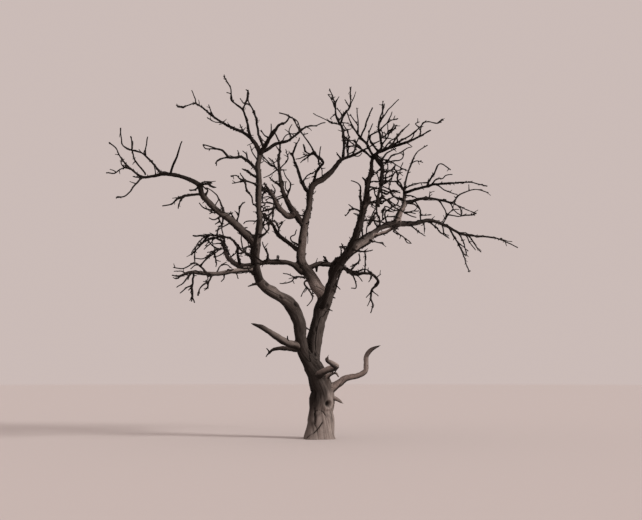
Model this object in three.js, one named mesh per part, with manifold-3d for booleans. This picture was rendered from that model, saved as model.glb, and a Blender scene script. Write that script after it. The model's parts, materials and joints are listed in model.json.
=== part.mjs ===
// A dead juniper tree: a bare, barkless, weathered snag that still stands on its trunk.
// Millimetres, +Z up, +X to the right and +Y away from the viewer.
// The origin is the middle of the flat cut where the trunk meets level ground.

import * as THREE from "three";
import { mergeVertices } from "three/addons/utils/BufferGeometryUtils.js";
import Module from "manifold-3d";

const SEAM_GAP = 0.3;          // clear room between two pieces that meet
const ROOT_SWELL = 1.1;        // a limb at its root, as a share of its first radius
const GROUND_RADIUS = 190;     // the trunk at the ground, before its root flare
const FLARE_DEPTH = 0.26;      // how far the flare's lobes stand out, as a share of the radius
const FLARE_HEIGHT = 110;      // height over which the flare dies away
const FLARE_LOBES = 4;
const FLARE_TURN = -0.5;       // turns one lobe to the right front, in radians
const STOUT_RADIUS = 16;       // a limb this thick at its root takes finer steps along its bends
const STOUT_STEPS = 2;         // rings for each run of a stout limb
const SLIM_STEPS = 1;          // rings for each run of a slim limb

// How many flat sides a limb has, by its radius at the root.
const SIDES = [
  { from: 150, sides: 16 },
  { from: 70, sides: 10 },
  { from: 38, sides: 8 },
  { from: 20, sides: 6 },
  { from: 0, sides: 5 },
];

// Weathered wood, from the pale foot of the trunk to the dark twigs.
const WOOD_SHADES = [
  { from: 150, color: 0x756861 },
  { from: 60, color: 0x544a46 },
  { from: 25, color: 0x463d3a },
  { from: 0, color: 0x3a3230 },
];
const WOOD_ROUGHNESS = 0.85;

const wasm = await Module();
wasm.setup();

const tree = new THREE.Group();
const stationsOf = new Map();  // a piece's name, with the stations of its stretch of the limb
const cutters = [];            // every piece of the limbs so far, grown by the seam gap

// One straight run of a limb, which the curve then rounds off at both ends.
// Heading is the direction in the picture plane: 0 is right, 90 up, 180 left and 270 down.
// Lean is the angle away from the viewer, and is below zero towards the viewer.
function run(length, heading, lean, radius) {
  return { length, heading, lean, radius };
}

function forRadius(table, radius) {
  return table.find((entry) => radius >= entry.from);
}

function runVector({ length, heading, lean }) {
  const turn = THREE.MathUtils.degToRad(heading);
  const tilt = THREE.MathUtils.degToRad(lean);
  const flat = length * Math.cos(tilt);
  return new THREE.Vector3(flat * Math.cos(turn), length * Math.sin(tilt), flat * Math.sin(turn));
}

// The stations of a limb: a ring's centre, radius and cross axes, every few steps along a smooth
// curve through the ends of its runs. The cross axes turn with the curve and never twist round it.
function limbStations(start, rootRadius, runs) {
  const ends = [start.clone()];
  for (const piece of runs) {
    ends.push(ends[ends.length - 1].clone().add(runVector(piece)));
  }
  const curve = new THREE.CatmullRomCurve3(ends, false, "centripetal");
  const steps = rootRadius >= STOUT_RADIUS ? STOUT_STEPS : SLIM_STEPS;
  const radii = [rootRadius, ...runs.map((piece) => piece.radius)];
  const stations = [];
  const tangent = curve.getTangent(0);
  const across = new THREE.Vector3(0, 1, 0).cross(tangent).normalize();
  for (let index = 0; index <= runs.length * steps; index += 1) {
    const along = index / steps;
    const piece = Math.min(Math.floor(along), runs.length - 1);
    const next = curve.getTangent(along / runs.length);
    across.applyQuaternion(new THREE.Quaternion().setFromUnitVectors(tangent, next));
    tangent.copy(next);
    stations.push({
      center: curve.getPoint(along / runs.length),
      radius: THREE.MathUtils.lerp(radii[piece], radii[piece + 1], along - piece),
      tangent: tangent.clone(),
      across: across.clone(),
      beside: across.clone().cross(tangent),
    });
  }
  return { stations, steps };
}

// How far the root flare stands out at an angle round the trunk and a height above the ground.
function flareShare(angle, height) {
  const lobe = 0.5 + 0.5 * Math.cos(FLARE_LOBES * (angle - FLARE_TURN));
  return 1 + FLARE_DEPTH * lobe * Math.exp(-height / FLARE_HEIGHT);
}

// A solid along the stations: a turned spindle whose height counts the rings, with each ring then
// moved to its station. A flared one has lobes at its foot and a flat cut at the ground.
function limbSolid(stations, sides, { grow = 0, startTrim = 0, endTrim = 0, flared = false }) {
  const last = stations.length - 1;
  const profile = [new THREE.Vector2(0, 0)];
  stations.forEach((station, ring) => profile.push(new THREE.Vector2(station.radius + grow, ring)));
  profile.push(new THREE.Vector2(0, last));
  const turned = new THREE.LatheGeometry(profile, sides);
  turned.deleteAttribute("normal");
  turned.deleteAttribute("uv");
  const geometry = mergeVertices(turned);
  const position = geometry.attributes.position;
  const vertProperties = new Float32Array(position.count * 3);
  for (let index = 0; index < position.count; index += 1) {
    const ring = Math.round(position.getY(index));
    const { center, tangent, across, beside } = stations[ring];
    const offset = across.clone().multiplyScalar(position.getX(index));
    offset.addScaledVector(beside, position.getZ(index));
    if (flared) {
      offset.multiplyScalar(flareShare(Math.atan2(offset.y, offset.x), center.z));
    }
    const shift = (ring === 0 ? startTrim : 0) - (ring === last ? endTrim : 0);
    const point = center.clone().add(offset).addScaledVector(tangent, shift);
    if (flared && ring === 0) {
      point.z = -grow;
    }
    point.toArray(vertProperties, index * 3);
  }
  const corners = geometry.index.array;
  const triangles = [];
  for (let index = 0; index < corners.length; index += 3) {
    const [a, b, c] = corners.slice(index, index + 3);
    if (a !== b && b !== c && c !== a) {
      triangles.push(a, b, c);
    }
  }
  return new wasm.Manifold(new wasm.Mesh({
    numProp: 3,
    vertProperties,
    triVerts: new Uint32Array(triangles),
  }));
}

// The part of a solid that is left outside the limbs that it grows from or passes.
function clearOfOthers(solid) {
  let left = solid;
  for (const cutter of cutters) {
    left = left.subtract(cutter);
  }
  const pieces = left.decompose();
  pieces.sort((one, other) => other.volume() - one.volume());
  return pieces[0];
}

function addPiece(name, solid, radius) {
  const { vertProperties, triVerts } = solid.getMesh();
  const geometry = new THREE.BufferGeometry();
  geometry.setAttribute("position", new THREE.BufferAttribute(new Float32Array(vertProperties), 3));
  geometry.setIndex(new THREE.BufferAttribute(new Uint32Array(triVerts), 1));
  geometry.computeVertexNormals();
  const material = new THREE.MeshStandardMaterial({
    color: forRadius(WOOD_SHADES, radius).color,
    roughness: WOOD_ROUGHNESS,
    metalness: 0,
  });
  const mesh = new THREE.Mesh(geometry, material);
  mesh.name = name;
  tree.add(mesh);
}

// The point a share of the way along a piece, on the middle line of its limb.
function pointOn(name, share) {
  const centers = stationsOf.get(name).map((station) => station.center);
  return new THREE.CatmullRomCurve3(centers, false, "centripetal").getPointAt(share);
}

// A limb is one smooth taper. Where it has several named pieces, it is sawn square between them.
// It starts on the middle line of the piece that bears it, a share of the way along that piece,
// and is cut to that piece's surface. Its first radius swells a little from its first run's.
function growLimb(pieces, { on, at, rootRadius, flared = false } = {}) {
  const names = Object.keys(pieces);
  const runs = Object.values(pieces).flat();
  const start = on ? pointOn(on, at) : new THREE.Vector3();
  const thick = rootRadius ?? runs[0].radius * ROOT_SWELL;
  const { stations, steps } = limbStations(start, thick, runs);
  const grown = [];
  let from = 0;
  names.forEach((name, order) => {
    const stretch = stations.slice(from, from + pieces[name].length * steps + 1);
    from += pieces[name].length * steps;
    const { sides } = forRadius(SIDES, stretch[0].radius);
    const lobed = flared && order === 0;
    const solid = limbSolid(stretch, sides, {
      startTrim: order === 0 ? 0 : SEAM_GAP / 2,
      endTrim: order === names.length - 1 ? 0 : SEAM_GAP / 2,
      flared: lobed,
    });
    grown.push(limbSolid(stretch, sides, {
      grow: SEAM_GAP,
      startTrim: -SEAM_GAP,
      endTrim: -SEAM_GAP,
      flared: lobed,
    }));
    stationsOf.set(name, stretch);
    addPiece(name, clearOfOthers(solid), stretch[0].radius);
  });
  cutters.push(...grown);
}

// The trunk leans up into the left stem, bends at the elbow and runs on to the left top.
growLimb({
  trunk: [
    run(180, 89, 0, 181),
    run(170, 90, 0, 175),
    run(190, 87, 0, 166),
    run(180, 93, 0, 157),
    run(170, 110, -5, 134),
  ],
  left_stem: [
    run(190, 120, -10, 99),
    run(175, 119, -10, 86),
    run(200, 104, -10, 76),
    run(205, 97, -8, 82),
    run(175, 112, -10, 89),
  ],
  left_elbow: [
    run(180, 131, -13, 91),
    run(215, 138, -13, 90),
    run(210, 145, -14, 86),
  ],
  left_leader: [
    run(190, 111, -10, 71),
    run(340, 90, -2, 59),
    run(230, 81, 4, 36),
    run(315, 92, 5, 38),
    run(320, 88, 6, 37),
    run(240, 97, 6, 37),
    run(180, 82, 8, 36),
  ],
  left_top: [
    run(250, 116, 20, 29),
    run(320, 133, 36, 21),
    run(410, 144, 42, 18),
    run(480, 138, 37, 15),
    run(450, 138, 33, 10),
    run(250, 186, 34, 8),
    run(150, 151, 32, 5),
  ],
}, { rootRadius: GROUND_RADIUS, flared: true });

// The right stem parts from the trunk at the fork and ends in the right crown.
growLimb({
  right_stem: [
    run(230, 106, 18, 111),
    run(225, 97, 10, 101),
    run(285, 83, 6, 107),
    run(305, 77, 5, 112),
    run(315, 73, 2, 108),
  ],
  right_leader: [
    run(220, 75, -9, 88),
    run(215, 61, -18, 75),
    run(215, 50, -25, 66),
    run(295, 63, -21, 56),
    run(320, 73, -13, 45),
    run(300, 78, -8, 37),
    run(480, 79, 2, 31),
  ],
  crown_bough: [
    run(160, 27, -39, 26),
    run(480, 8, -45, 17),
    run(370, 16, -42, 6),
  ],
}, { on: "trunk", at: 0.83 });

// The center stem rises from the top of the right stem and arches over to the right.
growLimb({
  center_stem: [
    run(160, 128, 12, 100),
    run(255, 127, 8, 86),
    run(220, 120, 6, 70),
    run(215, 87, 5, 64),
    run(285, 83, 3, 52),
  ],
  center_bough: [
    run(260, 77, 4, 41),
    run(200, 82, 4, 41),
    run(165, 79, 6, 45),
  ],
  arch_bough: [
    run(150, 35, 7, 42),
    run(205, 44, 6, 37),
    run(230, 50, 3, 29),
    run(205, 21, -4, 21),
    run(415, 27, -7, 6),
  ],
}, { on: "right_stem", at: 0.95 });

growLimb({
  right_bough: [
    run(235, 48, 25, 75),
    run(305, 50, 24, 72),
    run(350, 43, 22, 65),
  ],
  right_bough_outer: [
    run(245, 39, 22, 54),
    run(270, 20, 24, 44),
    run(300, 5, 21, 35),
    run(295, 17, 24, 27),
    run(315, -16, 24, 23),
    run(265, -25, 20, 19),
    run(630, -3, 19, 11),
    run(380, -22, 14, 5),
  ],
}, { on: "right_leader", at: 0.12 });

growLimb({
  left_arm: [
    run(435, 138, -23, 50),
    run(275, 148, -31, 43),
    run(330, 134, -31, 36),
  ],
  left_arm_outer: [
    run(120, 105, -23, 32),
    run(215, 154, -20, 26),
    run(265, 173, -20, 23),
    run(270, 194, -17, 17),
    run(375, 141, -29, 9),
    run(130, 114, -37, 6),
    run(120, 139, -35, 4),
  ],
}, { on: "left_leader", at: 0.28, rootRadius: 60 });

growLimb({
  lower_bough: [
    run(340, 187, -23, 31),
    run(205, 196, -26, 29),
    run(400, 180, -25, 20),
    run(145, 202, -25, 12),
    run(95, 178, -25, 6),
  ],
}, { on: "left_leader", at: 0.09, rootRadius: 40 });

// The cross bough passes behind the left leader, and the curl bough hangs from its far end.
growLimb({
  cross_bough: [
    run(165, 163, -6, 37),
    run(470, 181, -7, 33),
    run(215, 192, 0, 36),
  ],
  curl_bough: [
    run(205, 163, 20, 35),
    run(215, 129, 31, 26),
    run(245, 108, 35, 19),
    run(260, 150, 44, 13),
    run(265, 196, 43, 10),
    run(280, 222, 30, 5),
  ],
}, { on: "center_stem", at: 0.47 });

// The connector bough passes behind the right stem, and the hanging bough goes on from it.
growLimb({
  connector_bough: [
    run(135, 54, 10, 37),
    run(165, 15, 25, 36),
    run(335, -10, 25, 32),
  ],
  hanging_bough: [
    run(180, -30, 26, 29),
    run(285, 4, 25, 24),
    run(180, -44, 23, 21),
    run(145, -130, 12, 17),
    run(135, -101, 8, 13),
    run(90, -66, 13, 12),
    run(140, -106, 12, 6),
  ],
}, { on: "center_stem", at: 0.37 });

growLimb({
  center_left: [
    run(200, 125, 20, 42),
    run(570, 117, 32, 33),
    run(350, 101, 31, 26),
    run(340, 95, 30, 19),
    run(310, 89, 27, 13),
    run(280, 111, 25, 6),
  ],
}, { on: "center_stem", at: 1 });

growLimb({
  center_curve: [
    run(175, 162, 17, 41),
    run(220, 139, -27, 35),
    run(215, 118, -44, 24),
    run(245, 129, -44, 10),
  ],
}, { on: "center_left", at: 0.07 });

growLimb({
  center_low_left: [
    run(190, 138, 16, 30),
    run(260, 139, 13, 27),
    run(235, 121, 20, 19),
    run(205, 129, 26, 7),
  ],
}, { on: "center_stem", at: 0.65 });

// The left crown.
growLimb({
  left_spire: [
    run(230, 103, -48, 17),
    run(245, 108, -41, 14),
    run(220, 148, -40, 11),
    run(160, 90, -30, 8),
    run(185, 123, -29, 5),
  ],
}, { on: "left_top", at: 0.14 });

growLimb({
  left_fork: [
    run(205, 58, -31, 29),
    run(365, 47, -52, 19),
    run(190, 2, -48, 12),
    run(135, 41, -55, 9),
    run(180, 178, -47, 5),
  ],
}, { on: "left_leader", at: 0.99 });

growLimb({
  left_mast: [
    run(310, 109, 31, 16),
    run(280, 100, 28, 14),
    run(305, 111, 27, 10),
    run(380, 123, 25, 5),
  ],
}, { on: "left_fork", at: 0.12 });

growLimb({
  left_cross: [
    run(280, 40, 6, 24),
    run(160, 8, 14, 18),
    run(380, 44, 23, 12),
    run(185, 23, 33, 9),
    run(215, 29, 34, 5),
  ],
}, { on: "left_leader", at: 1 });

growLimb({
  left_branch: [
    run(200, 137, -47, 22),
    run(235, 163, -58, 19),
    run(250, 200, -53, 17),
    run(135, 140, -48, 15),
    run(335, 176, -48, 6),
  ],
}, { on: "left_leader", at: 0.85 });

// The branches of the left arm.
growLimb({
  left_riser: [
    run(320, 130, 20, 13),
    run(180, 138, 30, 11),
    run(380, 153, 30, 9),
    run(300, 103, 20, 5),
  ],
}, { on: "left_arm_outer", at: 0.42 });

growLimb({
  left_stick: [
    run(300, 62, -54, 14),
    run(300, 57, -50, 6),
  ],
}, { on: "left_arm_outer", at: 0.33 });

growLimb({
  left_prong: [
    run(410, 126, 28, 10),
    run(390, 102, 24, 5),
  ],
}, { on: "left_arm_outer", at: 0.56 });

growLimb({
  left_low_prong: [
    run(225, 236, -49, 11),
    run(310, 244, -40, 8),
    run(110, 198, -45, 4),
  ],
}, { on: "left_arm_outer", at: 0.56 });

growLimb({
  left_far_tip: [
    run(160, 173, 30, 9),
    run(145, 199, 34, 6),
    run(130, 170, 28, 4),
  ],
}, { on: "left_arm_outer", at: 0.71 });

growLimb({
  left_hook: [
    run(215, 205, -57, 16),
    run(240, 211, -52, 13),
    run(155, 241, -45, 10),
    run(175, 210, -48, 5),
  ],
}, { on: "left_arm", at: 1 });

growLimb({
  lower_drop: [
    run(215, 254, -55, 13),
    run(210, 272, -46, 9),
    run(215, 290, -34, 4),
  ],
}, { on: "lower_bough", at: 0.7 });

growLimb({
  curl_branch: [
    run(205, 102, -47, 18),
    run(180, 89, -47, 15),
    run(250, 153, -43, 12),
    run(495, 186, -39, 5),
  ],
}, { on: "curl_bough", at: 0.05 });

// Broken stubs and low limbs.
growLimb({
  stub_upper: [
    run(235, 167, -21, 37),
    run(400, 148, -26, 23),
    run(175, 161, -23, 6),
  ],
}, { on: "left_stem", at: 0.46 });

growLimb({
  stub_lower: [
    run(345, 172, 32, 25),
    run(160, 191, 30, 19),
    run(145, 219, 25, 7),
  ],
}, { on: "left_stem", at: 0.39 });

growLimb({
  low_curl: [
    run(225, 77, -65, 37),
    run(150, 29, -33, 34),
    run(130, 17, -33, 27),
    run(180, 145, -27, 16),
    run(70, 70, -8, 7),
  ],
}, { on: "trunk", at: 0.88 });

growLimb({
  low_arm: [
    run(200, 22, -9, 54),
    run(210, 38, -19, 41),
    run(175, 13, -27, 35),
    run(140, 31, -26, 32),
    run(185, 87, -12, 27),
    run(125, 51, -19, 20),
    run(140, 24, -21, 6),
  ],
}, { on: "trunk", at: 0.71 });

growLimb({
  low_stub: [
    run(210, -5, -17, 27),
    run(130, -33, -18, 10),
  ],
}, { on: "trunk", at: 0.63 });

// The center crown.
growLimb({
  center_rear: [
    run(260, 120, 31, 24),
    run(385, 106, 37, 19),
    run(370, 106, 39, 14),
    run(455, 75, 37, 6),
  ],
}, { on: "center_bough", at: 0.74 });

growLimb({
  center_mid: [
    run(190, 76, -30, 19),
    run(205, 51, -39, 18),
    run(200, 139, -41, 15),
    run(665, 128, -39, 5),
  ],
}, { on: "arch_bough", at: 0.01 });

growLimb({
  arch_mast: [
    run(300, 85, 23, 19),
    run(285, 96, 25, 19),
    run(260, 112, 27, 15),
    run(235, 92, 25, 11),
    run(340, 106, 21, 5),
  ],
}, { on: "arch_bough", at: 0.51 });

growLimb({
  arch_spire: [
    run(240, 81, -26, 13),
    run(155, 47, -40, 10),
    run(290, 92, -33, 5),
  ],
}, { on: "arch_mast", at: 0.39 });

// The right crown.
growLimb({
  crown_far: [
    run(575, 52, 35, 8),
    run(285, 10, 39, 6),
    run(125, 51, 34, 4),
  ],
}, { on: "crown_bough", at: 0.6 });

growLimb({
  crown_mast: [
    run(270, 58, 34, 18),
    run(370, 94, 31, 15),
    run(530, 77, 29, 5),
  ],
}, { on: "right_leader", at: 1 });

growLimb({
  crown_left: [
    run(200, 120, -25, 17),
    run(245, 137, -32, 14),
    run(375, 121, -36, 5),
  ],
}, { on: "right_leader", at: 0.99 });

growLimb({
  crown_spike: [
    run(275, 53, -58, 11),
    run(285, 64, -57, 5),
  ],
}, { on: "crown_left", at: 0.47 });

growLimb({
  crown_drop: [
    run(305, -65, -43, 26),
    run(345, 262, -40, 19),
    run(435, 258, -37, 12),
    run(385, 248, -35, 5),
  ],
}, { on: "right_leader", at: 1 });

growLimb({
  riser: [
    run(170, 74, 3, 50),
    run(180, 65, 6, 39),
    run(190, 87, 6, 29),
    run(250, 79, 19, 18),
    run(315, 69, 22, 13),
    run(205, 63, 20, 10),
    run(240, 37, 27, 5),
  ],
}, { on: "right_bough_outer", at: 0.19 });

growLimb({
  upper_right: [
    run(475, 10, -44, 19),
    run(350, -6, -39, 15),
    run(315, -7, -35, 10),
    run(275, -22, -33, 5),
  ],
}, { on: "riser", at: 0.32 });

growLimb({
  upper_fork: [
    run(205, 68, -44, 12),
    run(175, 54, -39, 9),
    run(215, -42, -37, 5),
  ],
}, { on: "upper_right", at: 0.33 });

growLimb({
  mid_right: [
    run(320, 25, 44, 23),
    run(310, 14, 38, 20),
    run(475, -2, 35, 16),
    run(180, 50, 27, 12),
    run(340, 24, 24, 9),
    run(285, -5, 27, 5),
  ],
}, { on: "riser", at: 0.23 });

growLimb({
  right_droop: [
    run(235, -65, -31, 14),
    run(285, -73, -32, 10),
    run(400, -77, -27, 5),
  ],
}, { on: "right_bough_outer", at: 0.53 });

// Limbs that run mostly towards or away from the viewer, in line with the stems.
growLimb({
  rear_left: [
    run(330, 92, 61, 32),
    run(465, 93, 57, 28),
    run(540, 97, 53, 22),
    run(505, 92, 47, 15),
    run(440, 98, 42, 6),
  ],
}, { on: "left_leader", at: 0.31 });

growLimb({
  front_left: [
    run(350, 110, -64, 35),
    run(520, 84, -62, 24),
    run(295, 72, -58, 17),
    run(245, 83, -51, 8),
  ],
}, { on: "left_elbow", at: 1 });

growLimb({
  front_right: [
    run(270, 73, -72, 44),
    run(330, 68, -61, 38),
    run(375, 67, -56, 31),
    run(335, 55, -54, 24),
    run(305, 53, -49, 17),
    run(255, 69, -48, 8),
  ],
}, { on: "right_stem", at: 0.8 });

growLimb({
  rear_right: [
    run(380, 75, 51, 38),
    run(430, 70, 54, 33),
    run(445, 60, 48, 27),
    run(475, 63, 39, 20),
    run(390, 73, 36, 10),
  ],
}, { on: "right_stem", at: 0.95 });

growLimb({
  rear_center: [
    run(360, 94, 55, 35),
    run(415, 84, 48, 29),
    run(400, 83, 45, 23),
    run(400, 83, 43, 16),
    run(365, 85, 37, 7),
  ],
}, { on: "center_stem", at: 0.54 });

export default tree;
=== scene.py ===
"""A dead juniper: bare, barkless, weathered wood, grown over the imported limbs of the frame.

Lengths are metres where no other unit is named, +Z is up, +X is to the right and +Y is away from
the viewer.  The middle line and the thickness of each limb are read from the frame's own nodes, so
the fine wood lies where the plain limbs are.  Branchlets and twigs then grow on from the limbs,
and none leaves the frame's box.
"""

import json
import logging
import math
from dataclasses import dataclass, field
from enum import Enum

import bpy
import numpy as np
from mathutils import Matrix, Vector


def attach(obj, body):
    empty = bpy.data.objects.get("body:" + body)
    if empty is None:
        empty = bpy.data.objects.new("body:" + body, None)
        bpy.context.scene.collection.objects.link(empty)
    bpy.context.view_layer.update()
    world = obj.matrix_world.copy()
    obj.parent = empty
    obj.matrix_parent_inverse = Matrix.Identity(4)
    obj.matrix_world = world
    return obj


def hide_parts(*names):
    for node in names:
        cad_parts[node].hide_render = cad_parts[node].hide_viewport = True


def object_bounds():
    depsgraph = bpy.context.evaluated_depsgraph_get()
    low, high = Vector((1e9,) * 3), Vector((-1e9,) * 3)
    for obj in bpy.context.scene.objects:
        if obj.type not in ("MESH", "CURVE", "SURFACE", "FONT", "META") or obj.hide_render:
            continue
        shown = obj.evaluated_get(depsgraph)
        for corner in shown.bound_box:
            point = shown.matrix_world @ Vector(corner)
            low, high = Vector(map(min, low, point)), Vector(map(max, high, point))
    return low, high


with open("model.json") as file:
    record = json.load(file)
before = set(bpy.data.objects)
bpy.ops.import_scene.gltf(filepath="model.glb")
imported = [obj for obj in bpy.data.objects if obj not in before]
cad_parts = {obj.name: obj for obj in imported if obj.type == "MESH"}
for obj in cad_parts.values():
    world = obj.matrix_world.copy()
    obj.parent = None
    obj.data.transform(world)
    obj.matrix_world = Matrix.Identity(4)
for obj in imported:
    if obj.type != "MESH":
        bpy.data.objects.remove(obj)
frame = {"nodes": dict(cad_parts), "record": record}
FRAME_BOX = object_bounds()
LOG = logging.getLogger("juniper")

Array = np.ndarray
Pair = tuple[float, float]
Triple = tuple[float, float, float]
Socket = bpy.types.NodeSocket

# The photograph's width and height in pixels, and its camera: how far in front of the trunk and
# how high it stands, and its lens and sensor in millimetres.
PICTURE = (642, 520)
CAMERA_AWAY, CAMERA_HEIGHT = 12.0, 0.83
LENS, SENSOR = 48.41, 36.0

# How far inside the frame's box branchlets and twigs keep their middle lines, and all wood its skin.
BOX_MARGIN, BOX_SKIN = 0.02, 0.001

# The mesh: the width of a column of faces, the powers of two between which the number of columns
# lies, and the way between two rings of a stout limb, a slim one and a branchlet.
COLUMN_WIDTH = 0.0052
FEWEST_POWER, MOST_POWER = 3, 8
STOUT_ROW, SLIM_ROW, SPRIG_ROW = 0.008, 0.011, 0.013

# The root radius from which a limb is stout, and from which a branchlet is bough wood.
STOUT_ROOT, STOUT_SPRIG = 0.045, 0.024

# Crooks of the middle line: how far they stand off, and the way from one to the next.
STOUT_CROOKS, SLIM_CROOKS, SPRIG_CROOKS = (0.0055, 0.16), (1.3 * 0.0055, 0.1), (0.006, 0.07)

# The least radius of a limb, how much thicker branchlets are than planned, their tips, and how
# much a branchlet swells where it leaves its bearer, over how many of its radii.
THINNEST = 0.0085
SPRIG_SWELL, SPRIG_TIP, TIP_SHARE = 1.2, 0.0068, 0.8
LEAVE_SWELL, LEAVE_RADII = 0.7, 1.3
MM = 0.001

# How far behind a limb's first ring its root may lie on its bearer, what a root further off counts
# for more, and how much thicker than that ring it is.
ROOT_REACH, ROOT_PULL, ROOT_SWELL = 0.45, 0.12, 1.12

# The skin at a fork: how many radii of the limb it reaches, how much wood beyond is measured, and
# how many steps each point takes.
FORK_RADII, FORK_MARGIN, FORK_STEPS = 5.0, 0.1, 3

# How much of the relief the pit of a knot smooths, how far before a tip the relief dies away, and
# how far the grain of one limb is moved from the next one's.
PIT_CALM, TIP_FADE, GRAIN_SHIFT = 0.6, 0.03, 0.37

# What the numbers of limbs and branchlets are added to, to seed their crooks and their relief.
LIMB_CROOK_SEED, SPRIG_CROOK_SEED, SPRIG_RELIEF_SEED = 500, 900, 200


class Side(Enum):
    """The part of the tree that a limb belongs to, which names the joined piece it is in."""

    LEFT = "left"
    CENTER = "center"
    RIGHT = "right"
    FOOT = "foot"


class Slot(Enum):
    """The record's material slots."""

    TRUNK = "trunk_wood"
    BOUGH = "bough_wood"
    TWIG = "twig_wood"


class End(Enum):
    """How a limb ends."""

    TAPERED = "tapered"
    SNAPPED = "snapped"


# The ways from which painted light falls on the limbs: a limb's flank that faces its way is painted paler,
# as if lit, and the flank turned away darker, as painted shade.
RIGHT_FRONT, FRONT = (0.84, -0.5, 0.2), (0.1, -0.78, 0.6)
TOP, FLANK = (0.15, -0.45, 0.88), (0.3, -0.72, -0.62)


@dataclass(frozen=True)
class LimbPlan:
    """One continuous limb of the frame: its nodes from root to tip and the node that bears it.

    Swell multiplies its thickness at the root and the tip, fillet is the size of the skin at its
    fork over its root's radius, spurs says whether twigs grow on it, and the last field is the way
    of its painted light: the flank that faces it is painted paler, and the far flank darker as shade.
    """

    nodes: tuple[str, ...]
    bearer: str
    side: Side
    end: End = End.TAPERED
    swell: Pair = (1.0, 1.0)
    fillet: float = 0.45
    spurs: bool = True
    # The way of the painted light: the flank facing it is painted paler, the far flank darker as shade.
    painted_light_way: Triple = RIGHT_FRONT


def plain(side: Side, **bearers: str) -> tuple[LimbPlan, ...]:
    """Plans of limbs of one node each, given as the node and what bears it."""
    return tuple(LimbPlan((node,), bearer, side) for node, bearer in bearers.items())


def broken(node: str, bearer: str, side: Side = Side.FOOT, painted_light_way: Triple = TOP, **more: Pair) -> LimbPlan:
    """The plan of a limb of one node that has snapped off and bears no twigs."""
    return LimbPlan((node,), bearer, side, End.SNAPPED, spurs=False, painted_light_way=painted_light_way, **more)


LIMBS = (
    LimbPlan(("trunk", "left_stem", "left_elbow", "left_leader", "left_top"), "", Side.LEFT),
    LimbPlan(("right_stem", "right_leader", "crown_bough"), "trunk", Side.RIGHT, fillet=0.35),
    LimbPlan(("center_stem", "center_bough", "arch_bough"), "right_stem", Side.CENTER, fillet=0.15),
    LimbPlan(("right_bough", "right_bough_outer"), "right_leader", Side.RIGHT, painted_light_way=FLANK),
    LimbPlan(("left_arm", "left_arm_outer"), "left_leader", Side.LEFT, fillet=0.3),
    LimbPlan(("lower_bough",), "left_leader", Side.LEFT, painted_light_way=TOP),
    LimbPlan(("cross_bough", "curl_bough"), "center_stem", Side.LEFT, fillet=1.3, painted_light_way=TOP),
    LimbPlan(("connector_bough", "hanging_bough"), "center_stem", Side.RIGHT, fillet=0.25, painted_light_way=TOP),
    LimbPlan(("center_left",), "center_stem", Side.CENTER, fillet=0.2),
    *plain(Side.CENTER, center_curve="center_left", center_low_left="center_stem"),
    *plain(Side.LEFT, left_spire="left_top", left_fork="left_leader", left_mast="left_fork"),
    *plain(Side.LEFT, left_cross="left_leader", left_branch="left_leader", left_riser="left_arm_outer"),
    broken("left_stick", "left_arm_outer", Side.LEFT, painted_light_way=RIGHT_FRONT),
    *plain(Side.LEFT, left_prong="left_arm_outer", left_low_prong="left_arm_outer"),
    *plain(Side.LEFT, left_far_tip="left_arm_outer", left_hook="left_arm"),
    *plain(Side.LEFT, lower_drop="lower_bough", curl_branch="curl_bough"),
    broken("stub_upper", "left_stem", swell=(1.3, 1.55)),
    broken("stub_lower", "left_stem", swell=(1.55, 1.1)),
    broken("low_curl", "trunk", swell=(1.15, 1.6)),
    broken("low_arm", "trunk", painted_light_way=FRONT),
    broken("low_stub", "trunk", painted_light_way=FRONT),
    *plain(Side.CENTER, center_rear="center_bough", center_mid="arch_bough"),
    *plain(Side.CENTER, arch_mast="arch_bough", arch_spire="arch_mast"),
    *plain(Side.RIGHT, crown_far="crown_bough", crown_mast="right_leader", crown_left="right_leader"),
    *plain(Side.RIGHT, crown_spike="crown_left", crown_drop="right_leader"),
    LimbPlan(("riser",), "right_bough_outer", Side.RIGHT, fillet=1.0),
    *plain(Side.RIGHT, upper_right="riser", upper_fork="upper_right", mid_right="riser"),
    LimbPlan(("right_droop",), "right_bough_outer", Side.RIGHT, swell=(1.0, 0.8)),
    *plain(Side.LEFT, rear_left="left_leader", front_left="left_elbow"),
    *plain(Side.RIGHT, front_right="right_stem", rear_right="right_stem"),
    *plain(Side.CENTER, rear_center="center_stem"),
)

# The limbs behind and in front of the rest, which the photograph can't show.
DEEP_LIMBS = ("rear_left", "front_left", "front_right", "rear_right", "rear_center")

# How pale the lit flank of a node's wood is, from 0 to 1, at even steps from its root: partly the wood's own
# silvery tone and partly painted light, as the flank turned from the painted light keeps only a small share.
PALE_WOOD_AND_PAINTED_LIGHT = {
    "trunk": (0.25, 0.07, 0.04),
    "left_stem": (0.06, 0.1, 0.1),
    "left_elbow": (0.2, 0.26, 0.12),
    "left_leader": (0.14, 0.24, 0.2),
    "right_stem": (0.12, 0.14, 0.12),
    "right_leader": (0.08, 0.05),
    "center_stem": (0.2, 0.42, 0.46),
    "center_bough": (0.32, 0.16),
    "right_bough": (0.2, 0.46, 0.42),
    "right_bough_outer": (0.14, 0.1, 0.06, 0.05, 0.05, 0.05),
    "left_arm": (0.2, 0.14),
    "lower_bough": (0.75, 0.45, 0.16),
    "cross_bough": (0.22,),
    "curl_bough": (0.1,),
    "connector_bough": (0.2,),
    "center_left": (0.22, 0.12),
    "center_curve": (0.42,),
    "center_low_left": (0.1,),
    "stub_upper": (0.4, 0.38, 0.12),
    "stub_lower": (0.34, 0.1),
    "low_curl": (0.6, 1.0, 0.6),
    "low_arm": (1.0, 0.95, 0.85, 0.3),
    "low_stub": (0.9,),
    "riser": (0.8, 0.3, 0.06, 0.05, 0.05, 0.05),
}
DARK_WOOD = (0.05,)


@dataclass(frozen=True)
class Bend:
    """A slight bend of a limb: where on a node it lies, how far the limb is moved to the right and
    up in mm, over what length in metres, and by what the limb's thickness is multiplied."""

    node: str
    share: float
    right: float
    up: float
    reach: float
    thick: float = 1.0


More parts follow.
